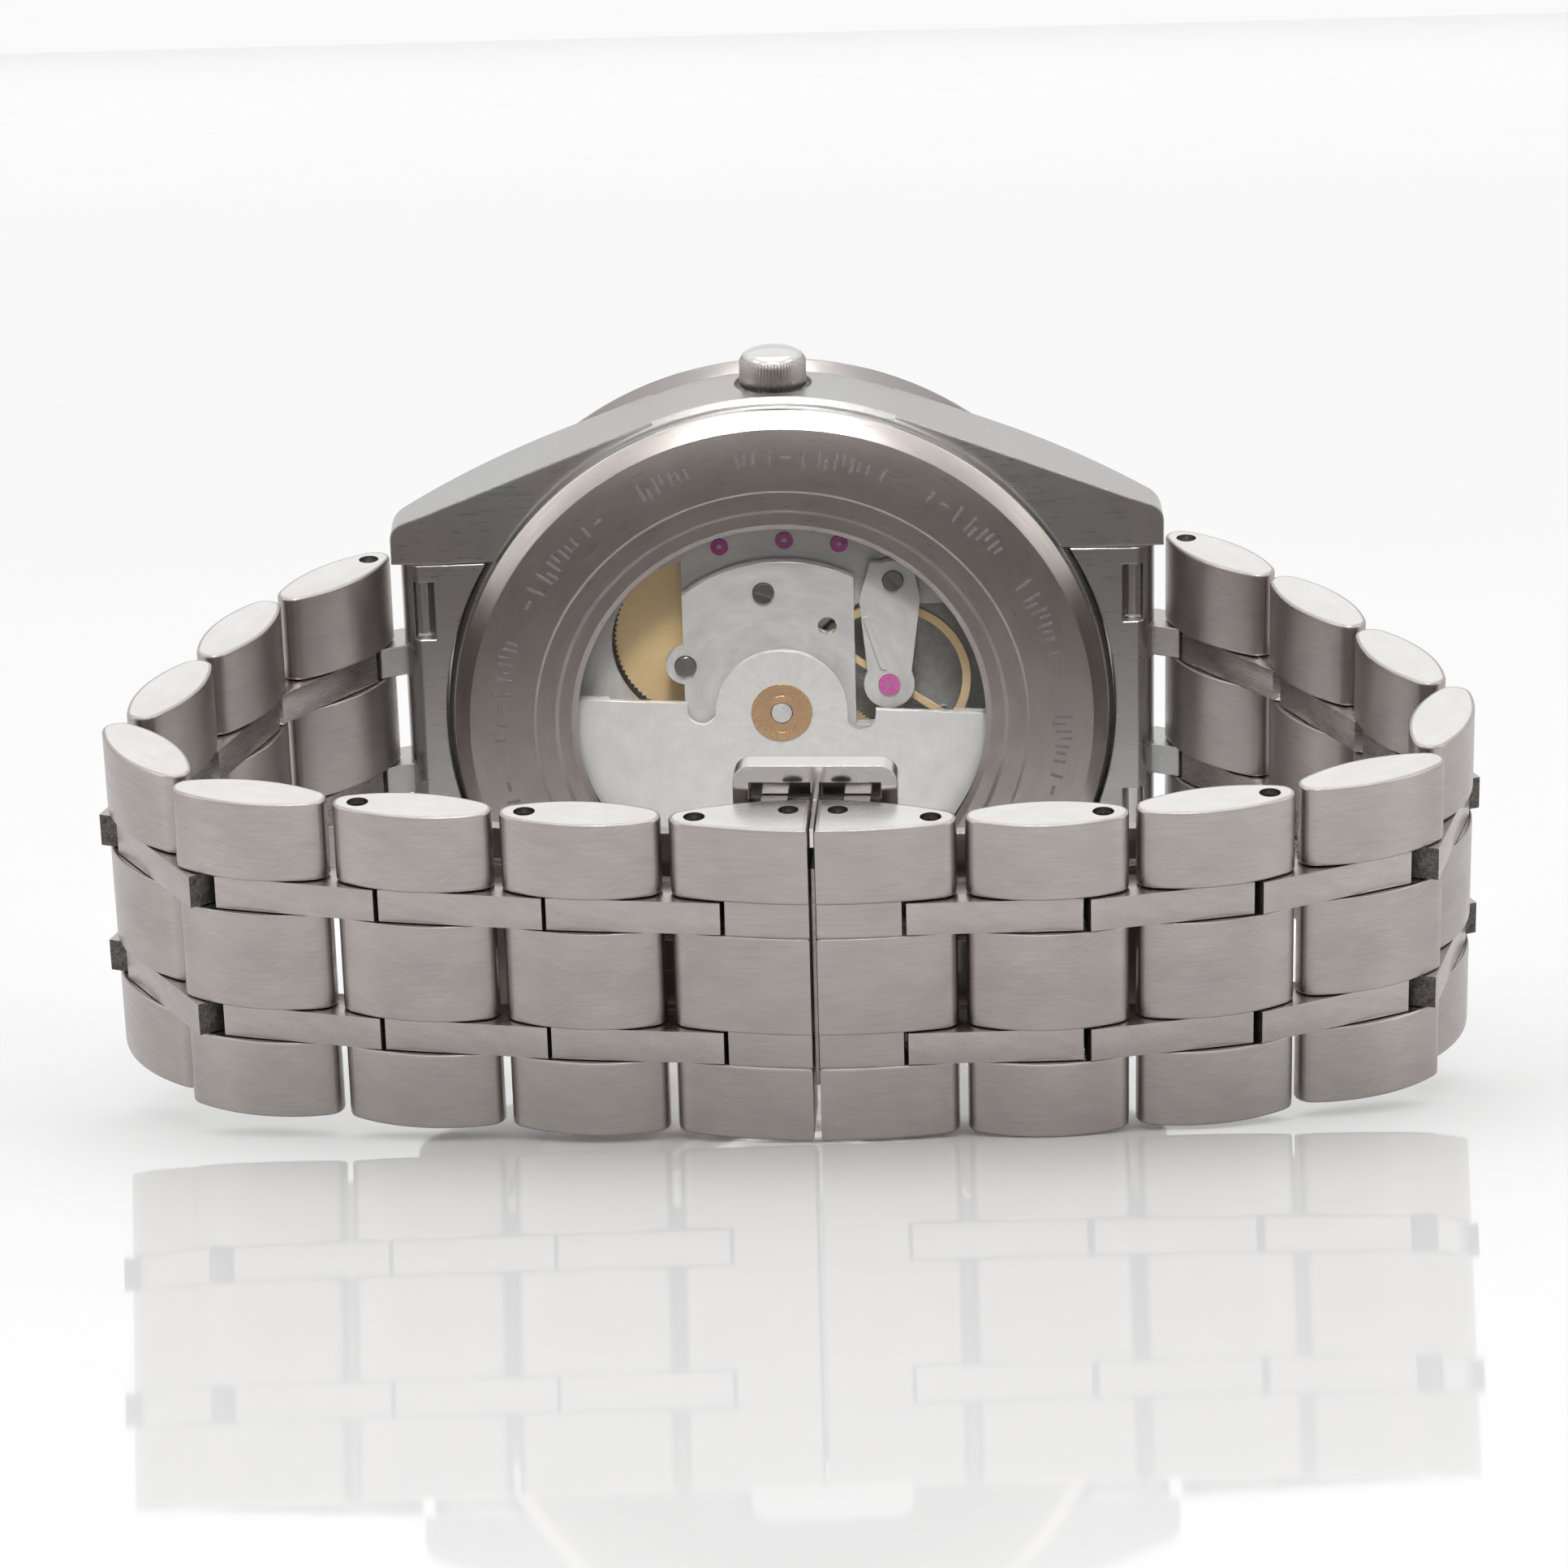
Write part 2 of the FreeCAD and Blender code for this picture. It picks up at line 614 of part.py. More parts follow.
def makeMinuteHand():
    body = joined([handShape(11.4, 2.2, 1.1, 7.6, 7.75, 0.95), roundBar(0.5, 6.45, 7.75)])
    body = carved(body, [roundBar(0.27, 6, 8)])
    body.rotate(originPoint, zAxis, -60)
    return body


def makeSecondsHand():
    hand = handShape(12.0, 3.6, 0.36, 7.95, 8.07, 0.6)
    body = joined([hand, roundBar(0.2, 6.0, 8.07), roundBar(0.75, 7.95, 8.07, -2.9, 0)])
    body.rotate(originPoint, zAxis, -145)
    return body


def makeMovementRing():
    # plain ring that holds the movement in the case, open where the stem passes
    body = turned([(plateRadius + 0.02, 3.45), (14.95, 3.45), (14.95, 6.5), (plateRadius + 0.02, 6.5)])
    return carved(body, [Part.makeCylinder(0.9, 6, point(0, -11, stemHeight), point(0, -1, 0))])


def makeMainPlate():
    body = roundBar(plateRadius, plateFloor, 6.4)
    rim = ringBetween(plateRadius, 12.75, 3.6, plateFloor)
    lugs = []
    for angle in (100, 200, 325):
        # posts that carry the train bridge, ending just short of its back
        lug = roundBar(0.7, trainBridgeBack + 0.01, 5.6, 11.7, 0)
        lug.rotate(originPoint, zAxis, angle)
        lugs.append(lug)
    tools = [roundBar(0.95, 5, 7)]
    for x, y in (barrelAt, thirdAt, fourthAt, escapeAt, palletAt, balanceAt):
        tools.append(roundBar(0.17, 5.4, 6.1, x, y))
    tools.append(Part.makeCylinder(0.9, 8, point(0, -9.4, stemHeight), point(0, -1, 0)))
    return carved(joined([body, rim] + lugs), tools)


def screwSeats(level):
    # flat-bottomed seats for the screw heads sunk in one bridge
    seats = []
    for x, y, front, radius, turn in screwPlaces:
        if front == level:
            seats.append(roundBar(radius + 0.03, level - 0.1, level + screwHeadThick - 0.18, x, y))
    return seats


def makeTrainBridge():
    # bridge over the wheel train, cut back round the balance and the barrel
    disc = roundBar(12.6, trainBridgeFront, trainBridgeBack)
    tools = [roundBar(balanceRadius + 0.35, 3, 5, balanceAt[0], balanceAt[1])]
    tools.append(boxBetween(balanceAt[0], 14, -6.0, 3.0, 3, 5))
    overBarrel = roundBar(5.35, 3, 5, barrelAt[0], barrelAt[1])
    tools.append(overBarrel.common(boxBetween(-14, -5.7, -14, 14, 3, 5)))
    tools.append(roundBar(1.3, 3, 5, cockFootAt[0], cockFootAt[1]))
    for x, y in (thirdAt, fourthAt, escapeAt):
        tools.append(roundBar(0.17, 3.6, 4.2, x, y))
    for x, y in jewelPlaces:
        tools.append(roundBar(0.52, 3.3, 3.5, x, y))
    tools.append(roundBar(0.3, 3.6, 4.2, 0, 0))
    tools.append(roundBar(0.17, 3.6, 4.2, barrelAt[0], barrelAt[1]))
    tools += screwSeats(trainBridgeFront)
    return carved(disc, tools)


def makeAutomaticBridge():
    # upper bridge that carries the rotor, cut straight beside the balance cock and open over the barrel
    disc = roundBar(9.2, autoBridgeFront, 3.2)
    tools = [boxBetween(4.4, 10, -10, 1.2, 2, 4)]
    tools.append(boxBetween(-10, -5.7, -7.8, 2, 2, 4))
    tools.append(roundBar(0.55, 2, 4, 2.8, -5.1))
    tools.append(roundBar(0.9, 2.85, 4, 0, 0))
    # everything past the rotor side is cut to a narrower tongue
    tools.append(boxBetween(-10, 10, 4.6, 10, 2, 4))
    ear = roundBar(1.15, autoBridgeFront, 3.2, -5.6, -2.8)
    legs = []
    for x, y in ((-0.9, -7.3), (-4.4, -1.6), (0.6, 3.7)):
        legs.append(roundBar(0.75, 3.1, trainBridgeFront, x, y))
    post = roundBar(0.6, 1.62, 2.6)
    body = joined([carved(disc, tools), ear, post] + legs)
    return carved(body, screwSeats(autoBridgeFront))


def makeBalanceCock():
    # arm over the balance with a regulator index
    footX, footY = cockFootAt
    outline = [(5.3, -0.2), (7.5, -0.2), (8.3, -6.6), (footX + 1.2, footY - 1)]
    outline += [(footX - 1.3, footY - 1.2), (4.7, -6.6)]
    arm = flatPlate(outline, cockFront, 3.2)
    hub = roundBar(1.5, cockFront, 3.2, balanceAt[0], balanceAt[1])
    foot = roundBar(1.25, cockFront, plateFloor, footX, footY)
    index = flatPlate([(5.9, -2.2), (6.3, -2.2), (5.2, -5.6), (4.9, -5.5)], 2.62, 2.8)
    body = joined([arm, hub, foot, index])
    tools = [roundBar(0.17, 2.95, 3.4, balanceAt[0], balanceAt[1])]
    tools.append(roundBar(0.65, 2.7, 2.8, balanceAt[0], balanceAt[1]))
    return carved(body, tools + screwSeats(cockFront))


def screwHead(x, y, z0, radius, turn):
    # slotted head, slot open towards the case back
    head = roundBar(radius, z0 - 0.18, z0 - 0.18 + screwHeadThick, x, y)
    slot = boxBetween(-2, 2, -0.08, 0.08, z0 - 0.3, z0 - 0.08)
    slot.rotate(originPoint, zAxis, turn)
    slot.translate(point(x, y, 0))
    return head.cut(slot)


def makeBridgeScrews():
    # heads of the screws that hold the bridges
    return Part.Compound([screwHead(*place) for place in screwPlaces])


def makeJewels():
    # ruby bearings set in the bridges
    jewels = []
    for x, y in jewelPlaces:
        jewels.append(ringBetween(0.5, 0.17, 3.33, 3.5, x, y))
    jewels.append(ringBetween(0.62, 0.17, 2.6, 2.8, balanceAt[0], balanceAt[1]))
    return Part.Compound(jewels)


def makeCaseBack():
    # screwed ring with a bright sloped rim, stepped in towards the glass
    return turned([(windowRadius, 0.55), (12.35, 0.3), (13.1, 0.3), (13.3, 0.08), (14.4, 0.08), (14.55, 0.0),
                   (18.3, 0.0), (caseBackRadius, 0.75), (caseBackRadius, caseFoot), (16.4, caseFoot),
                   (16.4, 3.2), (15.2, 3.2), (15.2, 1.75), (12.8, 1.75), (12.8, 0.6), (windowRadius, 0.6)])


def makeCaseBackGlass():
    return roundBar(12.78, 0.6, 1.35)


def makeCaseBackGasket():
    # flat rubber ring between the neck of the back and the case, and a small one that holds the glass
    return Part.Compound([ringBetween(16.2, 15.3, 3.2, 3.3), ringBetween(12.78, 12.3, 1.35, 1.6)])


def toothedDisc(teeth, radius, depth, z0, z1):
    # fine pointed teeth round a disc
    outline = []
    for step in range(teeth):
        angle = 2 * math.pi * step / teeth
        nextAngle = 2 * math.pi * (step + 0.5) / teeth
        outline.append((radius * math.cos(angle), radius * math.sin(angle)))
        inner = radius - depth
        outline.append((inner * math.cos(nextAngle), inner * math.sin(nextAngle)))
    return flatPlate(outline, z0, z1)


def makeWheel(place, teeth, radius, wheelLow, wheelHigh, pinionTeeth, pinionRadius, arbor):
    # spoked wheel, its pinion and the arbor they share
    rim = toothedDisc(teeth, radius, 0.16, wheelLow, wheelHigh)
    windows = ringBetween(radius - 0.75, max(0.9, pinionRadius + 0.25), wheelLow - 1, wheelHigh + 1)
    spokes = [boxBetween(-radius, radius, -0.16, 0.16, wheelLow - 1, wheelHigh + 1)]
    spokes.append(boxBetween(-0.16, 0.16, -radius, radius, wheelLow - 1, wheelHigh + 1))
    rim = rim.cut(windows.cut(spokes))
    pieces = [rim, roundBar(0.12, arbor[0], arbor[1])]
    if pinionTeeth:
        pieces.append(toothedDisc(pinionTeeth, pinionRadius, 0.12, arbor[2], arbor[3]))
    body = joined(pieces)
    body.translate(point(place[0], place[1], 0))
    return body


def makeBarrel():
    drum = roundBar(4.75, 4.62, 5.3)
    teeth = toothedDisc(96, 5.24, 0.16, 4.62, 4.85)
    body = joined([drum, teeth, roundBar(0.12, 3.7, 6.0)])
    body.translate(point(barrelAt[0], barrelAt[1], 0))
    return body


def makeCentreWheel():
    return makeWheel(centreAt, 96, 4.38, 4.2, 4.35, 12, 0.62, (3.7, 5.9, 4.2, 5.2))


def makeThirdWheel():
    return makeWheel(thirdAt, 90, 3.73, 4.65, 4.8, 12, 0.53, (3.7, 6.0, 4.15, 4.8))


def makeFourthWheel():
    return makeWheel(fourthAt, 90, 3.5, 4.2, 4.35, 12, 0.48, (3.7, 6.0, 4.2, 4.85))


def makeEscapeWheel():
    # fifteen long slanted teeth
    outline = []
    for step in range(15):
        base = 2 * math.pi * step / 15
        outline.append((2.05 * math.cos(base), 2.05 * math.sin(base)))
        outline.append((1.5 * math.cos(base + 0.16), 1.5 * math.sin(base + 0.16)))
        outline.append((1.5 * math.cos(base + 0.3), 1.5 * math.sin(base + 0.3)))
    wheel = flatPlate(outline, 4.65, 4.8)
    pinion = toothedDisc(9, 0.34, 0.09, 4.2, 4.7)
    body = joined([wheel, pinion, roundBar(0.12, 3.7, 6.0)])
    body.translate(point(escapeAt[0], escapeAt[1], 0))
    return body


def makePalletFork():
    # anchor with two pallet arms and a forked lever towards the balance
    outline = [(-1.35, -0.5), (-1.1, -0.65), (0, -0.25), (1.1, -0.65), (1.35, -0.5), (0.25, 0.2), (0.16, 1.4)]
    outline += [(0.28, 1.75), (0.1, 1.75), (0, 1.55), (-0.1, 1.75), (-0.28, 1.75), (-0.16, 1.4), (-0.25, 0.2)]
    lever = flatPlate(outline, 4.95, 5.1)
    body = joined([lever, roundBar(0.12, 4.4, 6.0)])
    turn = math.degrees(math.atan2(balanceAt[1] - palletAt[1], balanceAt[0] - palletAt[0])) - 90
    body.rotate(originPoint, zAxis, turn)
    body.translate(point(palletAt[0], palletAt[1], 0))
    return body


def makeBalanceWheel():
    rim = ringBetween(balanceRadius, balanceRadius - 0.5, 3.5, 3.85)
    arms = boxBetween(0.2 - balanceRadius, balanceRadius - 0.2, -0.2, 0.2, 3.5, 3.65)
    staff = roundBar(0.12, 3.0, 6.0)
    roller = roundBar(0.4, 4.6, 4.75)
    body = joined([rim, arms, staff, roundBar(0.45, 3.4, 3.8), roller])
    body.rotate(originPoint, zAxis, 35)
    body.translate(point(balanceAt[0], balanceAt[1], 0))
    return body


def makeHairspring():
    # flat spiral drawn as half turns that grow by the same step
    halves = []
    growth = 0.1
    for turn in range(14):
        radius = 0.45 + growth * turn
        centre = 0.0 if turn % 2 == 0 else growth
        coil = ringBetween(radius + 0.025, radius - 0.025, 3.92, 4.08, centre, 0)
        side = boxBetween(-3, 3, 0, 3, 3.5, 4.5) if turn % 2 == 0 else boxBetween(-3, 3, -3, 0, 3.5, 4.5)
        halves.append(coil.common(side))
    collet = ringBetween(0.45, 0.12, 3.92, 4.08)
    body = joined(halves + [collet])
    body.translate(point(balanceAt[0], balanceAt[1], 0))
    return body


def makeRotor():
    # half disc weight, thick at the rim, with a round boss and a rounded notch each side of it
    level = -0.37
    half = boxBetween(-13, 13, level, 13, 1, 4)
    plate = roundBar(12.2, 1.75, 2.1).common(half)
    rim = ringBetween(12.2, 10.2, 1.75, rotorRimBack).common(half)
    notches = []
    for side in (1, -1):
        notches.append(roundBar(0.85, 1, 3, side * 4.7, 0.12))
        notches.append(boxBetween(side * 4.7 - 0.85, side * 4.7 + 0.85, -2, 0.12, 1, 3))
    boss = roundBar(3.9, 1.75, 2.1)
    body = joined([carved(plate, notches), rim, boss])
    body = carved(body, [roundBar(1.8, 1, 3)])
    body.rotate(originPoint, zAxis, rotorTurn)
    return body


def makeRotorBearing():
    # ball race pressed in the rotor, turning on the post of the bridge
    ring = ringBetween(1.8, 0.66, 1.68, 2.25)
    groove = ringBetween(1.25, 1.05, 1.5, 1.75)
    return carved(ring, [groove])


def makeCrownTube():
    tube = Part.makeCylinder(1.05, 4.4, point(0, -15.9, stemHeight), point(0, -1, 0))
    bore = Part.makeCylinder(0.57, 9, point(0, -13.9, stemHeight), point(0, -1, 0))
    return tube.cut(bore)


def makeWindingStem():
    stem = Part.makeCylinder(0.5, 11.25, point(0, -9.6, stemHeight), point(0, -1, 0))
    clutch = Part.makeCylinder(0.8, 0.7, point(0, -9.6, stemHeight), point(0, -1, 0))
    return joined([stem, clutch])


def makeCrown():
    # fluted grip with a polished domed cap, hollow over the tube
    teeth = toothedDisc(72, crownRadius, 0.1, 0.0, 2.0)
    shell = turned([(0, 0), (1.75, 0), (2.2, 0.35), (2.2, 1.65), (1.75, 2.0), (0, 2.0)])
    grip = teeth.common(shell)
    edges = [Part.makeLine(point(0, 0, 1.95), point(1.72, 0, 1.95))]
    edges.append(capArc(1.72, 1.95, 0.5))
    edges.append(Part.makeLine(point(0, 0, 2.45), point(0, 0, 1.95)))
    cap = Part.Face(Part.Wire(edges)).revolve(originPoint, zAxis, 360)
    body = joined([grip, cap])
    body = carved(body, [roundBar(1.3, -0.1, 1.45)])
    body = carved(body, [roundBar(0.5, 1.3, 1.75)])
    # stand the crown on its side with the cap away from the case
    body.rotate(originPoint, xAxis, 90)
    body.translate(point(0, -caseRadius + 0.4, stemHeight))
    return body


def makeSettingLever():
    # small lever hooked round the stem inside the movement
    plate = boxBetween(0.6, 2.4, -11.1, -10.4, 4.3, 5.4)
    hole = Part.makeCylinder(0.55, 4, point(0, -10, stemHeight), point(0, -1, 0))
    around = Part.makeCylinder(0.95, 0.7, point(0, -10.4, stemHeight), point(0, -1, 0))
    around = around.common(boxBetween(-2, 2, -13, -10, 4.15, 5.42))
    return joined([plate, around]).cut(hole)


# ---- put every piece in place ----

def placeLink(index, directions, hinges):
    shape = makeLink(index)
    shape.rotate(originPoint, zAxis, directions[index])
    x, y = hinges[index - 1]
    shape.translate(point(x, y, 0))
    return shape


def placeHead(shape):
    # stand the head up so the dial looks away from the clasp
    shape.rotate(originPoint, xAxis, -90)
    shape.translate(point(headX, caseBackDepth, 0))
    return shape


def placeClasp(shape):
    # the closed clasp is turned a little against the head
    shape.rotate(originPoint, zAxis, -claspTurn)
    return shape


def mirrored(shape):
    return shape.mirror(originPoint, xAxis)


def besideHead(shape):
    shape.translate(point(headX, 0, 0))
    return shape


headPieces = {
    "mid_case": makeMidCase, "bezel": makeBezel, "crystal": makeCrystal, "crystal_gasket": makeCrystalGasket,
    "dial_ring": makeDialRing, "dial": makeDial, "dial_markers": makeDialMarkers,
    "hour_hand": makeHourHand, "minute_hand": makeMinuteHand, "seconds_hand": makeSecondsHand,
    "movement_ring": makeMovementRing, "main_plate": makeMainPlate, "train_bridge": makeTrainBridge,
    "automatic_bridge": makeAutomaticBridge, "balance_cock": makeBalanceCock,
    "bridge_screws": makeBridgeScrews, "jewels": makeJewels, "caseback": makeCaseBack,
    "caseback_glass": makeCaseBackGlass, "caseback_gasket": makeCaseBackGasket, "barrel": makeBarrel,
    "centre_wheel": makeCentreWheel, "third_wheel": makeThirdWheel, "fourth_wheel": makeFourthWheel,
    "escape_wheel": makeEscapeWheel, "pallet_fork": makePalletFork, "balance_wheel": makeBalanceWheel,
    "hairspring": makeHairspring, "rotor": makeRotor, "rotor_bearing": makeRotorBearing,
    "crown_tube": makeCrownTube, "winding_stem": makeWindingStem, "crown": makeCrown,
    "setting_lever": makeSettingLever,
}


def buildPieces():
    pieces = {}
    for name, maker in headPieces.items():
        pieces[name] = placeHead(maker())
    for index in range(1, linkCount + 1):
        pieces["link_right_%d" % index] = placeLink(index, directionsRight, hingesRight)
        pieces["link_left_%d" % index] = mirrored(placeLink(index, directionsLeft, hingesLeft))
    pieces["clasp_link_right"] = placeClasp(makeClaspLink(False))
    pieces["clasp_link_left"] = placeClasp(mirrored(makeClaspLink(True)))
    pieces["clasp_arm_right"] = placeClasp(makeClaspArm())
    pieces["clasp_arm_left"] = placeClasp(mirrored(makeClaspArm()))
    pieces["clasp_base"] = placeClasp(makeClaspBase())
    pieces["clasp_hinge_pins"] = placeClasp(makeClaspPins())
    pieces["clasp_button"] = placeClasp(makeClaspButton())
    pieces["button_spring"] = placeClasp(makeButtonSpring())
    pieces["end_link_right"] = besideHead(makeEndLink())
    pieces["end_link_left"] = besideHead(mirrored(makeEndLink()))
    pieces["spring_bars"] = besideHead(makeSpringBars())
    return pieces


def leanAndSeat(pieces):
    # lean the watch back, then bring its box to the middle of the ground
    for shape in pieces.values():
        shape.rotate(originPoint, xAxis, leanAngle)
    boxes = [shape.optimalBoundingBox(False, False) for shape in pieces.values()]
    middleX = 0.5 * (min(b.XMin for b in boxes) + max(b.XMax for b in boxes))
    middleY = 0.5 * (min(b.YMin for b in boxes) + max(b.YMax for b in boxes))
    lowest = min(b.ZMin for b in boxes)
    for shape in pieces.values():
        shape.translate(point(-middleX, -middleY, -lowest))
    return middleX, middleY, lowest


pieces = buildPieces()
seat = leanAndSeat(pieces)
os.makedirs("parts", exist_ok=True)
for name, shape in pieces.items():
    shape.exportStep("parts/" + name + ".step")
print("pieces", len(pieces), "lean", round(leanAngle, 3), "seat", seat)
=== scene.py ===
import bpy
import bmesh
import json
import math
from mathutils import Matrix, Vector


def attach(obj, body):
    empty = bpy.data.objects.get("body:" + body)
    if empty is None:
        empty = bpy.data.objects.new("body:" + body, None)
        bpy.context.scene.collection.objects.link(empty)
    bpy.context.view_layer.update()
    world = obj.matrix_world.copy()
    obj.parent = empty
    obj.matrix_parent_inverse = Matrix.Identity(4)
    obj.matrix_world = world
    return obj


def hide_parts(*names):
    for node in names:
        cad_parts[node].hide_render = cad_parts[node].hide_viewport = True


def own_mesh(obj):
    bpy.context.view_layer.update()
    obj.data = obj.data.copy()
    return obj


# Steel wristwatch lying on its nine o'clock side, case back towards the viewer, clasp in front.
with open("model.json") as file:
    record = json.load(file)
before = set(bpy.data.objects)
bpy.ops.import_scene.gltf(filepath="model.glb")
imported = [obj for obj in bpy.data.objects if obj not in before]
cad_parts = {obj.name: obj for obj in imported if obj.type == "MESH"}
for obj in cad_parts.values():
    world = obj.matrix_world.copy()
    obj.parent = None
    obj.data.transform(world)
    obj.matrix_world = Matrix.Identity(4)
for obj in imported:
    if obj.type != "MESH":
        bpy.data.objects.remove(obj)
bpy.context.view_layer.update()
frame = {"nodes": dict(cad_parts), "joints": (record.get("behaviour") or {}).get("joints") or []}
nodes = frame["nodes"]
joints = {joint["name"]: joint for joint in frame["joints"]}
mm = 0.001
print("frame loaded,", len(nodes), "nodes")

# directions shared by the whole watch
crownWay = Vector(joints["crown_turn"]["axis"]).normalized()      # towards the crown
twelveWay = Vector((1.0, 0.0, 0.0))                               # towards twelve o'clock
dialWay = twelveWay.cross(-crownWay).normalized()                 # from the case back to the dial
if dialWay.y < 0:
    dialWay = -dialWay


def jointPlace(name):
    return Vector(joints[name]["pos_m"])


def axesAt(origin, alongX, alongZ):
    # a frame with x and z given, as a matrix
    alongX = alongX.normalized()
    alongZ = alongZ.normalized()
    alongY = alongZ.cross(alongX)
    place = Matrix((alongX, alongY, alongZ)).transposed().to_4x4()
    place.translation = origin
    return place


def reachAlong(nodeName, direction):
    # lowest and highest distance of a node along a direction
    reach = [vertex.co.dot(direction) for vertex in nodes[nodeName].data.vertices]
    return min(reach), max(reach)


# head frame: on the axis of the watch, at the flat of the case back, z towards the dial
headOrigin = jointPlace("rotor_turn")
headOrigin = headOrigin + dialWay * (reachAlong("caseback", dialWay)[0] - headOrigin.dot(dialWay))
headPlace = axesAt(headOrigin, twelveWay, dialWay)

# clasp frame: between the two base hinges, y from the outside of the clasp towards the head
clasp = {"baseHingeDepth": 7.2, "coverLength": 7.55, "coverThick": 1.85, "coverInside": 2.35,
         "seamHalfGap": 0.2, "rowStep": 0.18, "edgeRadius": 0.16}
leftHinge = jointPlace("base_pivot_left")
rightHinge = jointPlace("base_pivot_right")
claspPlace = axesAt(Vector((0, 0, 0)), rightHinge - leftHinge, crownWay)
claspMiddle = (leftHinge + rightHinge) / 2 - claspPlace.col[1].to_3d() * clasp["baseHingeDepth"] * mm
claspPlace.translation = claspMiddle


def addNode(tree, kind, inputs=None, **settings):
    node = tree.nodes.new(kind)
    for key, value in settings.items():
        setattr(node, key, value)
    for key, value in (inputs or {}).items():
        node.inputs[key].default_value = value
    return node


def newMaterial(name):
    material = bpy.data.materials.new(name)
    material.use_nodes = True
    tree = material.node_tree
    tree.nodes.clear()
    out = addNode(tree, "ShaderNodeOutputMaterial")
    shader = addNode(tree, "ShaderNodeBsdfPrincipled")
    tree.links.new(shader.outputs["BSDF"], out.inputs["Surface"])
    return material, tree, shader


def headCoordinates(tree):
    # row frame to head frame, so rings and stripes are centred on the watch
    coords = addNode(tree, "ShaderNodeTexCoord")
    inverse = headPlace.inverted()
    turn = inverse.to_euler("XYZ")
    shift = inverse.translation
    mapping = addNode(tree, "ShaderNodeMapping", {"Location": shift, "Rotation": turn})
    tree.links.new(coords.outputs["Object"], mapping.inputs["Vector"])
    return mapping.outputs["Vector"]


def ringCoordinates(tree, stretch):
    # distance from the watch axis across the grain, angle along it
    split = addNode(tree, "ShaderNodeSeparateXYZ")
    tree.links.new(headCoordinates(tree), split.inputs["Vector"])
    angle = addNode(tree, "ShaderNodeMath", operation="ARCTAN2")
    tree.links.new(split.outputs["Y"], angle.inputs[0])
    tree.links.new(split.outputs["X"], angle.inputs[1])
    flat = addNode(tree, "ShaderNodeCombineXYZ")
    tree.links.new(split.outputs["X"], flat.inputs["X"])
    tree.links.new(split.outputs["Y"], flat.inputs["Y"])
    radius = addNode(tree, "ShaderNodeVectorMath", operation="LENGTH")
    tree.links.new(flat.outputs["Vector"], radius.inputs[0])
    along = addNode(tree, "ShaderNodeMath", {1: stretch}, operation="MULTIPLY")
    tree.links.new(angle.outputs["Value"], along.inputs[0])
    pair = addNode(tree, "ShaderNodeCombineXYZ")
    tree.links.new(along.outputs["Value"], pair.inputs["X"])
    tree.links.new(radius.outputs["Value"], pair.inputs["Y"])
    return pair.outputs["Vector"]


def surfacePlace(tree, look):
    # where the grain is measured: along the piece itself, round the head or across it
    if look["grainFrom"] == "piece":
        return addNode(tree, "ShaderNodeAttribute", attribute_name="alongPiece").outputs["Vector"]
    if look["grainFrom"] == "ring":
        return ringCoordinates(tree, look.get("ringStretch", 0.012))
    if look["grainFrom"] == "head":
        return headCoordinates(tree)
    return addNode(tree, "ShaderNodeTexCoord").outputs["Object"]


def streaks(tree, place, size, turn=0.0, detail=3.0):
    # noise drawn out along x, across y and z, sizes in mm, turned about y
    rotation = (0, math.radians(turn), 0)
    mapping = addNode(tree, "ShaderNodeMapping", {"Rotation": rotation}, vector_type="TEXTURE")
    mapping.inputs["Scale"].default_value = [s * mm for s in size]
    noise = addNode(tree, "ShaderNodeTexNoise", {"Scale": 1.0, "Detail": detail, "Roughness": 0.6})
    tree.links.new(place, mapping.inputs["Vector"])
    tree.links.new(mapping.outputs["Vector"], noise.inputs["Vector"])
    return noise.outputs["Fac"]


def spread(tree, value, low, high, start=0.3, end=0.7):
    ranged = addNode(tree, "ShaderNodeMapRange",
                     {"From Min": start, "From Max": end, "To Min": low, "To Max": high})
    tree.links.new(value, ranged.inputs["Value"])
    return ranged.outputs["Result"]


def blendColours(tree, factor, first, second, mode="MIX"):
    mix = addNode(tree, "ShaderNodeMix", data_type="RGBA", blend_type=mode)
    for socket, value in ((mix.inputs[6], first), (mix.inputs[7], second)):
        if isinstance(value, (tuple, list)):
            socket.default_value = (*value[:3], 1.0)
        else:
            tree.links.new(value, socket)
    if isinstance(factor, float):
        mix.inputs[0].default_value = factor
    else:
        tree.links.new(factor, mix.inputs[0])
    return mix.outputs[2]


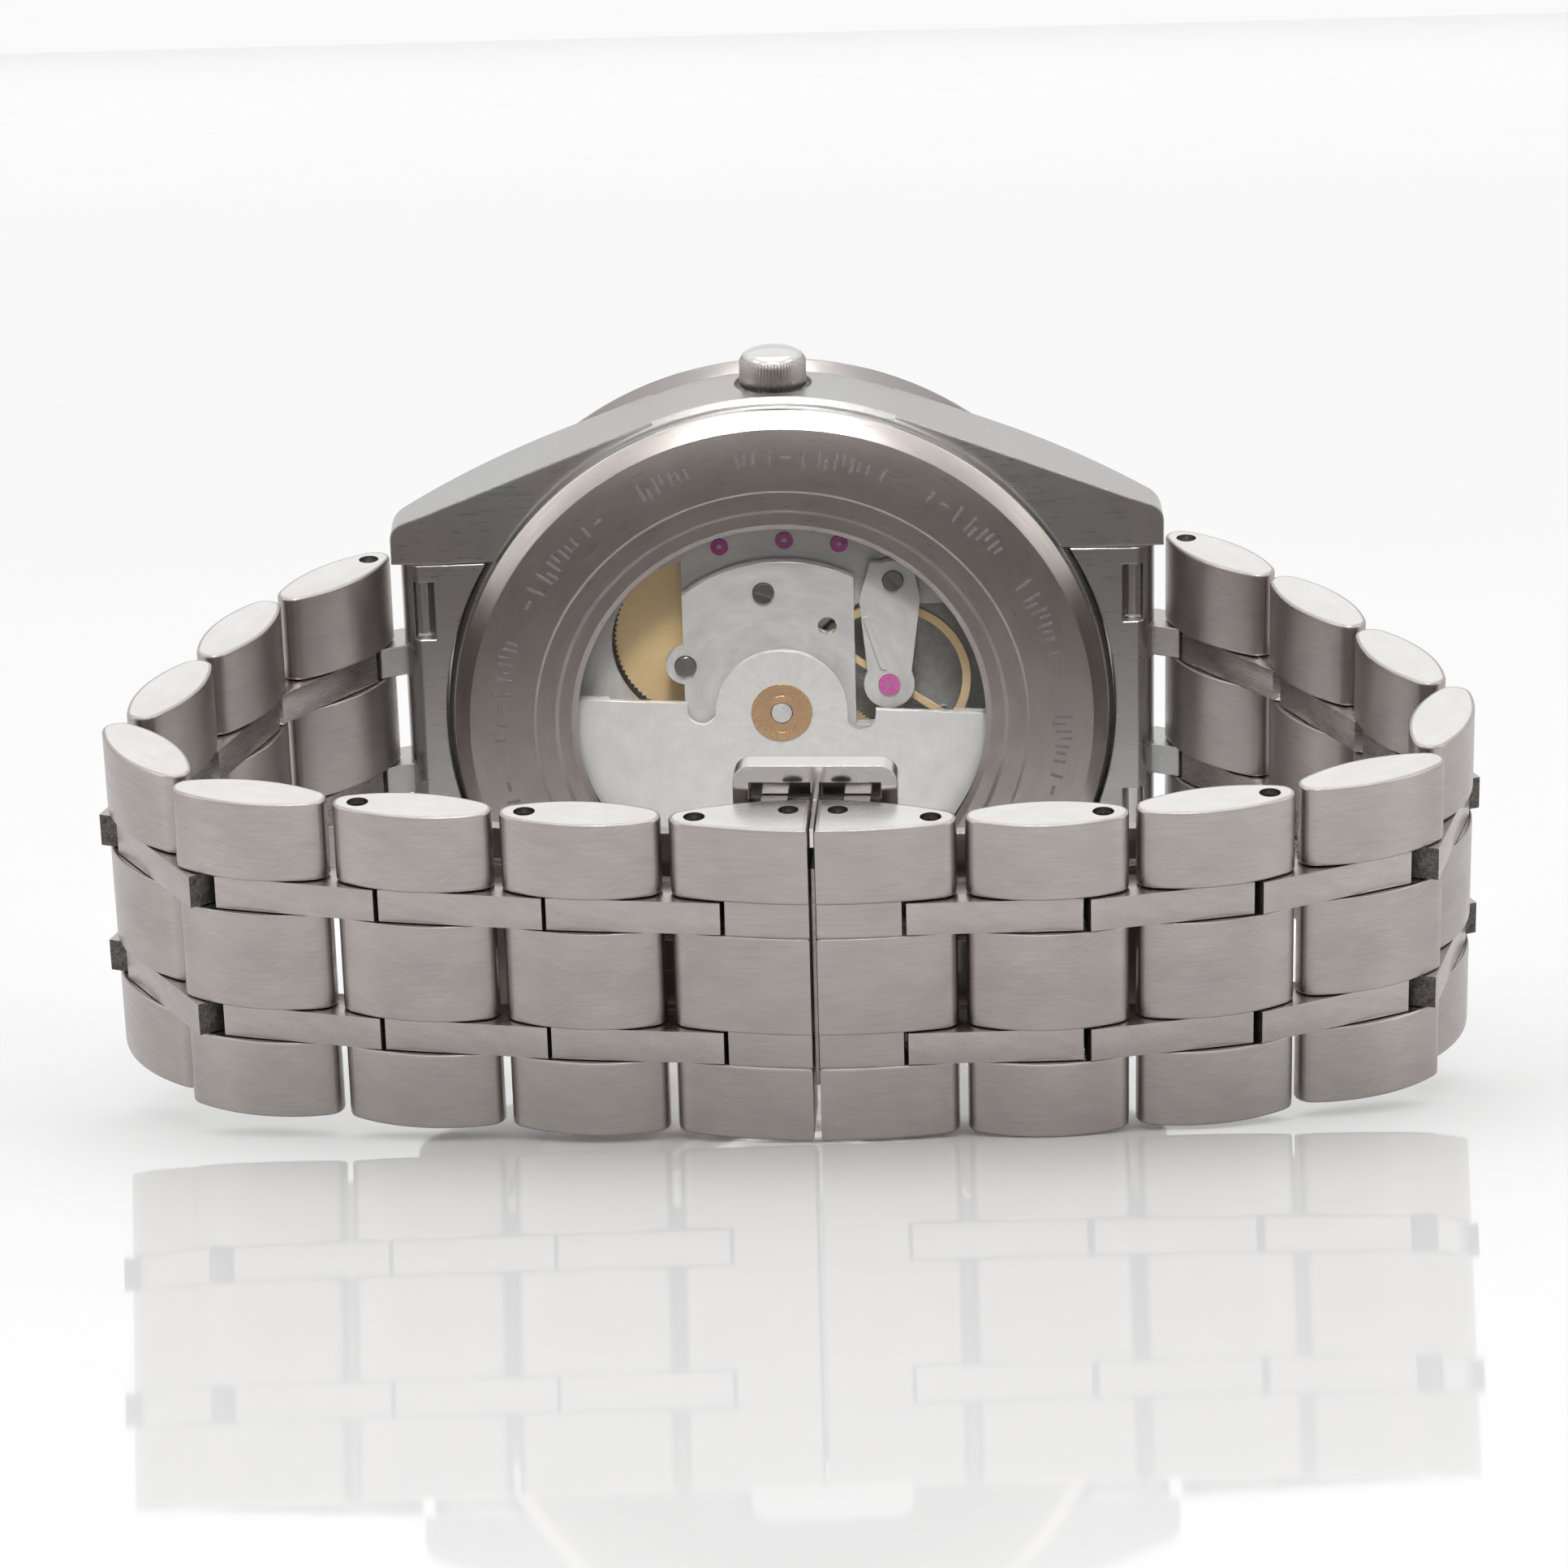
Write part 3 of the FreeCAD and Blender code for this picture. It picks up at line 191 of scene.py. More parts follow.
def metal(name, look):
    # colour drifts in slow stains, grain runs along x, a few long scratches cross it
    material, tree, shader = newMaterial(name)
    shader.inputs["Metallic"].default_value = look.get("metallic", 1.0)
    shader.inputs["IOR"].default_value = 1.6
    place = surfacePlace(tree, look)
    stain = streaks(tree, place, look["stain"], 12, 2.0)
    grain = streaks(tree, place, look["grain"], 0, 4.0)
    colour = blendColours(tree, spread(tree, stain, 0.0, 1.0), look["colour"], look["tint"])
    dark = [c * look["grainDepth"] for c in (1, 1, 1)]
    colour = blendColours(tree, spread(tree, grain, 0.0, 1.0), colour,
                          blendColours(tree, 1.0, colour, dark, "MULTIPLY"))
    rough = spread(tree, grain, look["rough"] - look["roughSpread"], look["rough"] + look["roughSpread"])
    height = grain
    for turn in look.get("scratchTurns", ()):
        line = streaks(tree, place, look["scratch"], turn, 1.0)
        mark = spread(tree, line, 0.0, 1.0, 0.63, 0.72)
        shown = spread(tree, mark, 0.0, look["scratchShow"], 0, 1)
        colour = blendColours(tree, shown, colour, look["scratchColour"])
        lower = addNode(tree, "ShaderNodeMath", {1: 0.25}, operation="MULTIPLY")
        tree.links.new(mark, lower.inputs[0])
        summed = addNode(tree, "ShaderNodeMath", operation="SUBTRACT")
        tree.links.new(height, summed.inputs[0])
        tree.links.new(lower.outputs["Value"], summed.inputs[1])
        height = summed.outputs["Value"]
    tree.links.new(colour, shader.inputs["Base Color"])
    tree.links.new(rough, shader.inputs["Roughness"])
    bump = addNode(tree, "ShaderNodeBump", {"Strength": look["bump"], "Distance": 0.02 * mm})
    tree.links.new(height, bump.inputs["Height"])
    if look.get("edge"):
        # softens the sharp edges of pieces kept as they were cut
        soften = addNode(tree, "ShaderNodeBevel", {"Radius": look["edge"] * mm}, samples=4)
        tree.links.new(soften.outputs["Normal"], bump.inputs["Normal"])
    tree.links.new(bump.outputs["Normal"], shader.inputs["Normal"])
    return material


steelGrey = (0.455, 0.42, 0.40)
steelWarm = (0.405, 0.365, 0.35)
steelCool = (0.44, 0.445, 0.435)
# the same steel made paler as painted light, for faces that look up towards the ceiling and lamps
paintedLightSteel = (0.74, 0.725, 0.71)

finishes = {
    "linkFace": {"grainFrom": "piece", "colour": steelGrey, "tint": steelWarm, "stain": (4, 2.2, 2.2),
                 "grain": (2.2, 0.6, 0.07), "grainDepth": 0.90, "rough": 0.33,
                 "roughSpread": 0.06, "bump": 0.22,
                 "scratchTurns": (24, -33), "scratch": (3.0, 3.0, 0.06), "scratchShow": 0.22,
                 "scratchColour": (0.56, 0.535, 0.515)},
    # block end faces: the paler steel colour is painted light for the faces turned up towards the ceiling
    "linkEndPaintedLight": {"grainFrom": "piece", "colour": paintedLightSteel, "tint": (0.68, 0.66, 0.635),
                "stain": (3, 1.5, 1.5),
                "grain": (1.6, 0.06, 0.6), "grainDepth": 0.92, "rough": 0.26,
                "roughSpread": 0.05, "bump": 0.15},
    "plateFace": {"grainFrom": "piece", "colour": (0.475, 0.44, 0.42), "tint": steelWarm, "stain": (3, 1, 1),
                  "grain": (1.4, 0.6, 0.05), "grainDepth": 0.93, "rough": 0.28,
                  "roughSpread": 0.05, "bump": 0.15,
                  "scratchTurns": (38,), "scratch": (1.4, 1.4, 0.05), "scratchShow": 0.2,
                  "scratchColour": (0.56, 0.535, 0.515)},
    # plate ends: rough sawn steel, its dark colour painted shade for the narrow butt gaps between plates
    "sawnEndAndShade": {"grainFrom": "piece", "colour": (0.20, 0.185, 0.175), "tint": (0.10, 0.09, 0.085),
                "stain": (0.4, 0.4, 0.4), "grain": (0.3, 0.10, 0.12), "grainDepth": 0.5, "rough": 0.55,
                "roughSpread": 0.12, "bump": 0.9},
    # darker steel for pins and rivets, also laid on drilled hole walls and the crown bore as painted shade
    "pinSteelAndHoleShade": {"grainFrom": "piece", "colour": (0.30, 0.28, 0.27), "tint": (0.22, 0.20, 0.19),
                 "stain": (1, 1, 1), "grain": (0.1, 0.1, 1.0), "grainDepth": 0.7, "rough": 0.35,
                 "roughSpread": 0.1, "bump": 0.4},
    "backRing": {"grainFrom": "ring", "colour": (0.425, 0.385, 0.365), "tint": (0.38, 0.345, 0.325),
                 "stain": (2.5, 1.5, 1.0), "grain": (1.6, 0.07, 1.0), "grainDepth": 0.90, "rough": 0.32,
                 "roughSpread": 0.06, "bump": 0.2},
    "polished": {"grainFrom": "object", "colour": (0.66, 0.64, 0.625), "tint": (0.60, 0.58, 0.565),
                 "stain": (6, 6, 6), "grain": (0.8, 0.5, 0.5), "grainDepth": 0.97, "rough": 0.12,
                 "roughSpread": 0.03, "bump": 0.05, "edge": 0.08},
    "caseSatin": {"grainFrom": "head", "colour": (0.45, 0.42, 0.405), "tint": steelCool, "stain": (6, 6, 6),
                  "grain": (2.4, 0.10, 0.10), "grainDepth": 0.97, "rough": 0.30,
                  "roughSpread": 0.04, "bump": 0.05,
                  "edge": 0.16},
    # bezel: the case steel made darker as painted shade, for the dark look of the polished dome
    "bezelPaintedShade": {"grainFrom": "ring", "colour": (0.36, 0.335, 0.325), "tint": (0.31, 0.29, 0.28),
                  "stain": (6, 6, 6), "grain": (1.5, 0.3, 1.0), "grainDepth": 0.97, "rough": 0.14,
                  "roughSpread": 0.03, "bump": 0.04, "edge": 0.08},
    "innerSatin": {"grainFrom": "object", "colour": (0.46, 0.44, 0.42), "tint": steelWarm, "stain": (4, 4, 4),
                   "grain": (1.5, 0.12, 0.12), "grainDepth": 0.88, "rough": 0.33, "roughSpread": 0.06,
                   "bump": 0.3, "edge": 0.08},
    "rotorPlate": {"grainFrom": "ring", "colour": (0.74, 0.705, 0.685), "tint": (0.66, 0.63, 0.61),
                   "stain": (2, 1.6, 1), "grain": (2.0, 0.14, 1.0), "grainDepth": 0.94, "rough": 0.36,
                   "roughSpread": 0.05, "bump": 0.2, "edge": 0.05, "metallic": 0.4},
    "bridgePlate": {"grainFrom": "ring", "colour": (0.70, 0.665, 0.645), "tint": (0.56, 0.53, 0.515),
                    "stain": (9, 1.1, 1), "grain": (1.8, 0.1, 1.0), "grainDepth": 0.92, "rough": 0.36,
                    "roughSpread": 0.06, "bump": 0.2, "edge": 0.05, "metallic": 0.45},
    "basePlate": {"grainFrom": "head", "colour": (0.50, 0.48, 0.47), "tint": (0.38, 0.36, 0.355),
                  "stain": (1.2, 1.2, 1.2), "grain": (0.3, 0.3, 0.3), "grainDepth": 0.85, "rough": 0.42,
                  "roughSpread": 0.08, "bump": 0.3, "edge": 0.05, "metallic": 0.6},
    "gilt": {"grainFrom": "head", "colour": (0.95, 0.70, 0.38), "tint": (0.90, 0.64, 0.34),
             "stain": (3, 3, 3),
             "grain": (0.4, 0.12, 0.4), "grainDepth": 0.92, "rough": 0.34, "roughSpread": 0.06, "bump": 0.25,
             "edge": 0.04, "metallic": 0.45},
    "bearingBrass": {"grainFrom": "ring", "colour": (0.78, 0.48, 0.25), "tint": (0.68, 0.41, 0.22),
                     "stain": (1, 0.5, 1), "grain": (0.6, 0.06, 1.0), "grainDepth": 0.85, "rough": 0.28,
                     "roughSpread": 0.06, "bump": 0.3, "edge": 0.04, "metallic": 0.85},
    "screwSteel": {"grainFrom": "head", "colour": (0.42, 0.40, 0.38), "tint": (0.34, 0.32, 0.30),
                   "stain": (1, 1, 1), "grain": (0.5, 0.08, 0.5), "grainDepth": 0.85, "rough": 0.2,
                   "roughSpread": 0.05, "bump": 0.2, "edge": 0.05},
    "wheelSteel": {"grainFrom": "head", "colour": (0.55, 0.53, 0.50), "tint": (0.48, 0.46, 0.43),
                   "stain": (1, 1, 1), "grain": (0.4, 0.08, 0.4), "grainDepth": 0.85, "rough": 0.28,
                   "roughSpread": 0.06, "bump": 0.2, "edge": 0.03},
}
made = {name: metal(name, look) for name, look in finishes.items()}


def roughCoat(name, look):
    # painted, rubber or stone surface with a fine uneven skin
    material, tree, shader = newMaterial(name)
    place = headCoordinates(tree)
    grain = streaks(tree, place, look["grain"], 0, 3.0)
    colour = blendColours(tree, spread(tree, grain, 0.0, 1.0), look["colour"], look["tint"])
    tree.links.new(colour, shader.inputs["Base Color"])
    rough = spread(tree, grain, look["rough"] - 0.05, look["rough"] + 0.05)
    tree.links.new(rough, shader.inputs["Roughness"])
    shader.inputs["Metallic"].default_value = look.get("metallic", 0.0)
    shader.inputs["Coat Weight"].default_value = look.get("coat", 0.0)
    bump = addNode(tree, "ShaderNodeBump", {"Strength": look["bump"], "Distance": 0.02 * mm})
    tree.links.new(grain, bump.inputs["Height"])
    tree.links.new(bump.outputs["Normal"], shader.inputs["Normal"])
    return material


coats = {
    "gasketRubber": {"colour": (0.02, 0.02, 0.02), "tint": (0.035, 0.034, 0.033), "grain": (0.2, 0.2, 0.2),
                     "rough": 0.65, "bump": 0.4},
    "dialLacquer": {"colour": (0.028, 0.033, 0.048), "tint": (0.034, 0.039, 0.055), "grain": (0.4, 0.4, 0.4),
                    "rough": 0.3, "bump": 0.02, "metallic": 0.6, "coat": 0.6},
    "ruby": {"colour": (0.40, 0.035, 0.22), "tint": (0.50, 0.08, 0.30), "grain": (0.3, 0.3, 0.3),
             "rough": 0.15, "bump": 0.05, "coat": 0.5},
    "engraving": {"colour": (0.085, 0.075, 0.07), "tint": (0.14, 0.125, 0.12), "grain": (0.15, 0.15, 0.15),
                  "rough": 0.55, "bump": 0.5},
}
made.update({name: roughCoat(name, look) for name, look in coats.items()})


def clearGlass(name, look):
    # thin sapphire: see-through with a clean reflection that grows at a slant
    material, tree, shader = newMaterial(name)
    tree.nodes.remove(shader)
    through = addNode(tree, "ShaderNodeBsdfTransparent", {"Color": (*look["through"], 1.0)})
    glossColour = (*look["gloss"], 1.0)
    gloss = addNode(tree, "ShaderNodeBsdfGlossy", {"Color": glossColour, "Roughness": look["rough"]})
    slant = addNode(tree, "ShaderNodeLayerWeight", {"Blend": 0.5})
    curve = addNode(tree, "ShaderNodeMath", {1: look["slantPower"]}, operation="POWER")
    amounts = {1: look["slantGloss"], 2: look["faceGloss"]}
    grown = addNode(tree, "ShaderNodeMath", amounts, operation="MULTIPLY_ADD")
    tree.links.new(slant.outputs["Facing"], curve.inputs[0])
    tree.links.new(curve.outputs["Value"], grown.inputs[0])
    smear = streaks(tree, headCoordinates(tree), (5, 5, 5), 0, 2.0)
    share = addNode(tree, "ShaderNodeMath", operation="MULTIPLY")
    tree.links.new(grown.outputs["Value"], share.inputs[0])
    tree.links.new(spread(tree, smear, 0.85, 1.15), share.inputs[1])
    mix = addNode(tree, "ShaderNodeMixShader")
    out = [node for node in tree.nodes if node.type == "OUTPUT_MATERIAL"][0]
    tree.links.new(share.outputs["Value"], mix.inputs["Fac"])
    tree.links.new(through.outputs["BSDF"], mix.inputs[1])
    tree.links.new(gloss.outputs["BSDF"], mix.inputs[2])
    tree.links.new(mix.outputs["Shader"], out.inputs["Surface"])
    return material


glassLook = {"through": (0.96, 0.97, 0.97), "gloss": (1.0, 1.0, 1.0), "rough": 0.02, "slantPower": 4.0,
             "slantGloss": 0.6, "faceGloss": 0.03}
made["sapphire"] = clearGlass("sapphire", glassLook)
print("finishes made,", len(made))


def addRings(bm, rings, endMaterial=0, sideMaterial=0, closed=True):
    loops = [[bm.verts.new(corner) for corner in ring] for ring in rings]
    count = len(loops[0])
    for near, far in zip(loops, loops[1:]):
        for i in range(count):
            j = (i + 1) % count
            bm.faces.new((near[i], near[j], far[j], far[i])).material_index = sideMaterial
    if closed:
        bm.faces.new(list(reversed(loops[0]))).material_index = endMaterial
        bm.faces.new(loops[-1]).material_index = endMaterial


def edgeSteps(radius, support=0.05, segments=3):
    # inset and height of each ring round a softened edge, from the flat end to the side
    steps = [(radius + support, 0.0)]
    for k in range(segments + 1):
        angle = math.pi / 2 * k / segments
        steps.append((radius * (1 - math.sin(angle)), radius * (1 - math.cos(angle))))
    steps.append((0.0, radius + support))
    return steps


def lensOutline(shape, inset=0.0, cutAt=None, steps=14):
    # two shallow arcs joined by round tips, outside towards -y; cutAt leaves only the part beyond that x
    tip = shape["tipRadius"] - inset
    centre = shape["halfLength"] - shape["tipRadius"]
    corners = []
    outer = shape["outside"] - inset
    inner = shape["inside"] - inset
    bigOuter = (centre ** 2 + outer ** 2 - tip ** 2) / (2 * (outer - tip))
    bigInner = (centre ** 2 + inner ** 2 - tip ** 2) / (2 * (inner - tip))
    endOuter = math.atan2(centre, bigOuter - outer)
    endInner = math.atan2(centre, bigInner - inner)
    firstOuter = -endOuter
    firstInner = -endInner
    if cutAt is not None:
        firstOuter = math.asin((cutAt + inset) / bigOuter)
        firstInner = math.asin((cutAt + inset) / bigInner)
    for k in range(steps + 1):
        a = firstOuter + (endOuter - firstOuter) * k / steps
        corners.append((bigOuter * math.sin(a), bigOuter - outer - bigOuter * math.cos(a)))
    tipSteps = 6
    for k in range(1, tipSteps):
        a = (-math.pi / 2 + endOuter) + (math.pi - endOuter - endInner) * k / tipSteps
        corners.append((centre + tip * math.cos(a), tip * math.sin(a)))
    for k in range(steps + 1):
        a = endInner + (firstInner - endInner) * k / steps
        corners.append((bigInner * math.sin(a), inner - bigInner + bigInner * math.cos(a)))
    if cutAt is None:
        for k in range(1, tipSteps):
            a = (math.pi / 2 + endInner) + (math.pi - endOuter - endInner) * k / tipSteps
            corners.append((-centre + tip * math.cos(a), tip * math.sin(a)))
    return corners


def addLensBlock(bm, shape, middle, low, high, edge, cutAt=None):
    # a lens bar from low(x) to high(x) along z with softened ends
    rings = []
    steps = edgeSteps(edge)
    for inset, height in steps:
        outline = lensOutline(shape, inset, cutAt)
        rings.append([(x + middle[0], y + middle[1], low(x + middle[0]) + height) for x, y in outline])
    for inset, height in reversed(steps):
        outline = lensOutline(shape, inset, cutAt)
        rings.append([(x + middle[0], y + middle[1], high(x + middle[0]) - height) for x, y in outline])
    addRings(bm, rings, endMaterial=1, sideMaterial=0)
    # flat end faces take the second slot, filled with the painted-light steel on links and clasp
    for face in bm.faces:
        if face.material_index == 0 and abs(face.normal.z) > 0.9:
            face.material_index = 1


def addPrism(bm, outline, low, high, edge, material=0, endMaterial=None):
    # a straight sided piece with every edge softened a little
    piece = bmesh.new()
    addRings(piece, [[(x, y, z) for x, y in outline] for z in (low, high)])
    bmesh.ops.recalc_face_normals(piece, faces=piece.faces)
    if edge:
        bmesh.ops.bevel(piece, geom=piece.edges[:], offset=edge, segments=2, profile=0.6,
                        affect="EDGES", clamp_overlap=True)
    for face in piece.faces:
        face.material_index = material
        if endMaterial is not None and abs(face.normal.x) > 0.95:
            face.material_index = endMaterial
    joinInto(bm, piece)


def addRod(bm, radius, low, high, x=0.0, y=0.0, edge=0.08, material=0, sides=28):
    rings = []
    for inset, height in ((edge, 0.0), (edge * 0.3, edge * 0.3), (0.0, edge)):
        rings.append((radius - inset, low + height))
    for inset, height in ((0.0, edge), (edge * 0.3, edge * 0.3), (edge, 0.0)):
        rings.append((radius - inset, high - height))
    turns = [2 * math.pi * k / sides for k in range(sides)]
    loops = [[(x + r * math.cos(a), y + r * math.sin(a), z) for a in turns] for r, z in rings]
    addRings(bm, loops, material, material)


def joinInto(bm, piece):
    carrier = bpy.data.meshes.new("carrier")
    piece.to_mesh(carrier)
    piece.free()
    bm.from_mesh(carrier)
    bpy.data.meshes.remove(carrier)


def meshFrom(bm, name):
    mesh = bpy.data.meshes.new(name)
    bm.to_mesh(mesh)
    bm.free()
    return mesh


def cutOut(bm, cutter):
    # takes one closed mesh out of another
    body = bpy.data.objects.new("body", meshFrom(bm, "body"))
    tool = bpy.data.objects.new("tool", meshFrom(cutter, "tool"))
    for obj in (body, tool):
        bpy.context.scene.collection.objects.link(obj)
    change = body.modifiers.new("cut", "BOOLEAN")
    change.object = tool
    change.solver = "EXACT"
    bpy.context.view_layer.update()
    done = body.evaluated_get(bpy.context.evaluated_depsgraph_get())
    result = bmesh.new()
    result.from_mesh(done.to_mesh())
    done.to_mesh_clear()
    for obj in (body, tool):
        mesh = obj.data
        bpy.data.objects.remove(obj)
        bpy.data.meshes.remove(mesh)
    return result


def finishPiece(bm, name, place, materials, body, replaced=(), smoothBelow=33):
    # smooth shading with crisp corners, grain directions kept, then set down in metres and handed to its body
    bmesh.ops.scale(bm, vec=(mm, mm, mm), verts=bm.verts)
    along = bm.verts.layers.float_vector.new("alongPiece")
    for vertex in bm.verts:
        vertex[along] = vertex.co
    bmesh.ops.transform(bm, matrix=place, verts=bm.verts)
    limit = math.radians(smoothBelow)
    for face in bm.faces:
        face.smooth = True
    for edge in bm.edges:
        edge.smooth = len(edge.link_faces) == 2 and edge.calc_face_angle(0.0) < limit
    obj = bpy.data.objects.new(name, meshFrom(bm, name))
    bpy.context.scene.collection.objects.link(obj)
    for material in materials:
        obj.data.materials.append(made[material])
    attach(obj, body)
    if replaced:
        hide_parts(*replaced)
    return obj


link = {"pitch": 9.03, "length": 8.6, "halfThick": 1.65, "tipRadius": 0.95, "pinFromTip": 1.35,
        "middleRow": 2.80, "plateRow": 1.95, "rowGap": 0.06, "plateThick": 1.3, "plateTail": 1.01,
        "longTail": 1.40, "pinRadius": 0.515, "holeRadius": 0.575, "rivetRadius": 0.5, "rivetAt": 6.3,
        "edgeRadius": 0.14, "plateEdge": 0.03, "buttGap": 0.14, "count": 7, "openPins": (0, 1, 2, 7)}


def linkPlace(side, index):
    # from its own cross pin to the next one, wrist side towards +y
    names = ["hinge_%s_%d" % (side, k) for k in range(7)] + ["lug_hinge_" + side]
    own = jointPlace(names[index - 1])
    following = jointPlace(names[index])
    upward = crownWay if side == "right" else -crownWay
    own = own - crownWay * (own - claspMiddle).dot(crownWay)
    following = following - crownWay * (following - claspMiddle).dot(crownWay)
    return axesAt(own, following - own, upward)


def widthLine(nodeName, place, start, end):
    # half width of the piece at two distances along it, as a function of x
    inverse = place.inverted()
    spots = [inverse @ vertex.co / mm for vertex in nodes[nodeName].data.vertices]
    near = max(p.z for p in spots if p.x < start + 0.4 * (end - start) and abs(p.x - start) < 3.5)
    far = max(p.z for p in spots if p.x > end - 1.2)
    return lambda x: near + (far - near) * (x - start) / (end - start)


def buildLink(side, index):
    place = linkPlace(side, index)
    nodeName = "link_%s_%d" % (side, index)
    start = link["pinFromTip"] + link["pitch"] - link["length"]
    end = start + link["length"]
    middle = ((start + end) / 2, 0.0)
    shape = {"halfLength": link["length"] / 2, "outside": link["halfThick"], "inside": link["halfThick"],
             "tipRadius": link["tipRadius"]}
    halfWidth = braceletWidth(side, index)
    outerStart = link["middleRow"] + link["plateRow"]
    bm = bmesh.new()
    addLensBlock(bm, shape, middle, lambda x: -link["middleRow"], lambda x: link["middleRow"], 0.10)
    rows = bmesh.new()
    addLensBlock(rows, shape, middle, lambda x: outerStart, halfWidth, link["edgeRadius"])
    addLensBlock(rows, shape, middle, lambda x: -halfWidth(x), lambda x: -outerStart, link["edgeRadius"])
    if index in link["openPins"]:
        drill = bmesh.new()
        # hole walls take the darker pin colour as painted shade inside the holes
        addRod(drill, link["holeRadius"], -12, 12, link["pitch"], 0, material=3, sides=36)
        rows = cutOut(rows, drill)
    joinInto(bm, rows)
    tail = link["longTail"] if index == 1 else link["plateTail"]
    far = link["pitch"] - link["plateTail"] - link["buttGap"]
    thick = link["plateThick"]
    outline = [(-tail, -thick), (far, -thick), (far, thick), (-0.05, thick), (-tail, 0.3)]
    low = link["middleRow"] + link["rowGap"]
    high = outerStart - link["rowGap"]
    for near, top in ((low, high), (-high, -low)):
        # plate end faces take slot 4, darkened as painted shade in the butt gaps
        addPrism(bm, outline, near, top, link["plateEdge"], 2, 4)
    rivetReach = halfWidth(0) - 0.9
    addRod(bm, link["rivetRadius"], -rivetReach, rivetReach, link["rivetAt"], 0, material=3)
    pinReach = halfWidth(0) - (0.4 if (index - 1) in link["openPins"] else 0.9)
    addRod(bm, link["pinRadius"], -pinReach, pinReach, 0, 0, material=3)
    return finishPiece(bm, "linkBody_%s_%d" % (side, index), place,
                       ("linkFace", "linkEndPaintedLight", "plateFace", "pinSteelAndHoleShade", "sawnEndAndShade"),
                       nodeName, (nodeName,))


def braceletWidth(side, index):
    # the bracelet widens towards the lugs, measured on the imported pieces
    place = linkPlace(side, index)
    start = link["pinFromTip"] + link["pitch"] - link["length"]
    end = start + link["length"]
    return widthLine("link_%s_%d" % (side, index), place, start, end)


for side in ("left", "right"):
    for index in range(1, link["count"] + 1):
        buildLink(side, index)
print("links built")


def buildCover(side):
    # half of the clasp cover; the left one is drawn turned over
    nodeName = "clasp_link_" + side
    crownSide = 1 if side == "right" else -1
    place = claspPlace.copy()
    if side == "left":
        place = axesAt(claspMiddle, -claspPlace.col[0].to_3d(), -crownWay)
    inverse = place.inverted()
    halfWide = max(abs((inverse @ v.co).z) for v in nodes[nodeName].data.vertices) / mm
    middle = (0.0, clasp["coverThick"])
    shape = {"halfLength": clasp["coverLength"], "outside": clasp["coverThick"],
             "inside": clasp["coverInside"], "tipRadius": link["tipRadius"]}
    step = clasp["rowStep"]
    lowered = {"halfLength": clasp["coverLength"] - step, "outside": clasp["coverThick"] - step,
               "inside": clasp["coverInside"], "tipRadius": link["tipRadius"]}
    row = link["middleRow"]
    outerStart = row + link["plateRow"]
    gap = clasp["seamHalfGap"]
    bm = bmesh.new()
    blocks = [(shape, -row, row, 0.10), (shape, outerStart, halfWide, clasp["edgeRadius"]),
              (shape, -halfWide, -outerStart, clasp["edgeRadius"]),
              (lowered, row - 0.05, outerStart + 0.05, 0.02),
              (lowered, -outerStart - 0.05, -row + 0.05, 0.02)]
    holes = ((6.2, clasp["coverThick"], link["holeRadius"]), (1.3, 2.75, link["pinRadius"] + 0.03))
    for form, low, high, edge in blocks:
        block = bmesh.new()
        addLensBlock(block, form, middle, lambda x, z=low: z, lambda x, z=high: z, edge, gap)
        if form is lowered:
            slot = bmesh.new()
            addPrism(slot, [(4.65, -3), (9, -3), (9, 8), (4.65, 8)], low - 1, high + 1, 0, 2)
            block = cutOut(block, slot)
        if low < 4.5 and high > -4.5:
            bay = bmesh.new()
            addPrism(bay, [(-1, 1.5), (2.7, 1.5), (2.7, 2.9), (9, 2.9), (9, 6.5), (-1, 6.5)], -4.5, 4.5, 0, 1)
            block = cutOut(block, bay)
        for x, y, radius in holes:
            if form is not lowered or x < 4:
                drill = bmesh.new()
                # hole walls take the darker pin colour as painted shade inside the holes
                addRod(drill, radius, -12, 12, x, y, material=3, sides=36)
                block = cutOut(block, drill)
        joinInto(bm, block)
    # pins of the folding arm end just under the surface
    pinReach = halfWide - 0.4
    for near, far in ((4.65, pinReach), (-pinReach, -4.65)):
        addRod(bm, link["pinRadius"], near, far, 1.3, 2.75, material=3)
    # catch hook on the crown side
    hooks = (((1.5, 3.6), (2.9, 5.72), 8.2, 8.6), ((1.5, 5.3), (2.9, 5.72), 7.95, 8.3))
    for (x0, y0), (x1, y1), low, high in hooks:
        if crownSide < 0:
            low, high = -high, -low
        addPrism(bm, [(x0, y0), (x1, y0), (x1, y1), (x0, y1)], low, high, 0.04, 1)
    return finishPiece(bm, "claspCover_" + side, place,
                       ("linkFace", "linkEndPaintedLight", "plateFace", "pinSteelAndHoleShade"), nodeName, (nodeName,))


for side in ("left", "right"):
    buildCover(side)
print("clasp covers built")


def roundedCorners(points, radius, steps=3):
    # each corner of an open outline is replaced by a small arc
    result = [points[0]]
    for before, corner, after in zip(points, points[1:], points[2:]):
        here = Vector(corner)
        toBefore = Vector(before) - here
        toAfter = Vector(after) - here
        turn = toBefore.angle(toAfter)
        back = min(radius / math.tan(turn / 2), 0.4 * toBefore.length, 0.4 * toAfter.length)
        for k in range(steps + 1):
            t = k / steps
            first = here + toBefore.normalized() * back * (1 - t)
            second = here + toAfter.normalized() * back * t
            result.append(tuple(first * (1 - t) + second * t))
    result.append(points[-1])
    return result


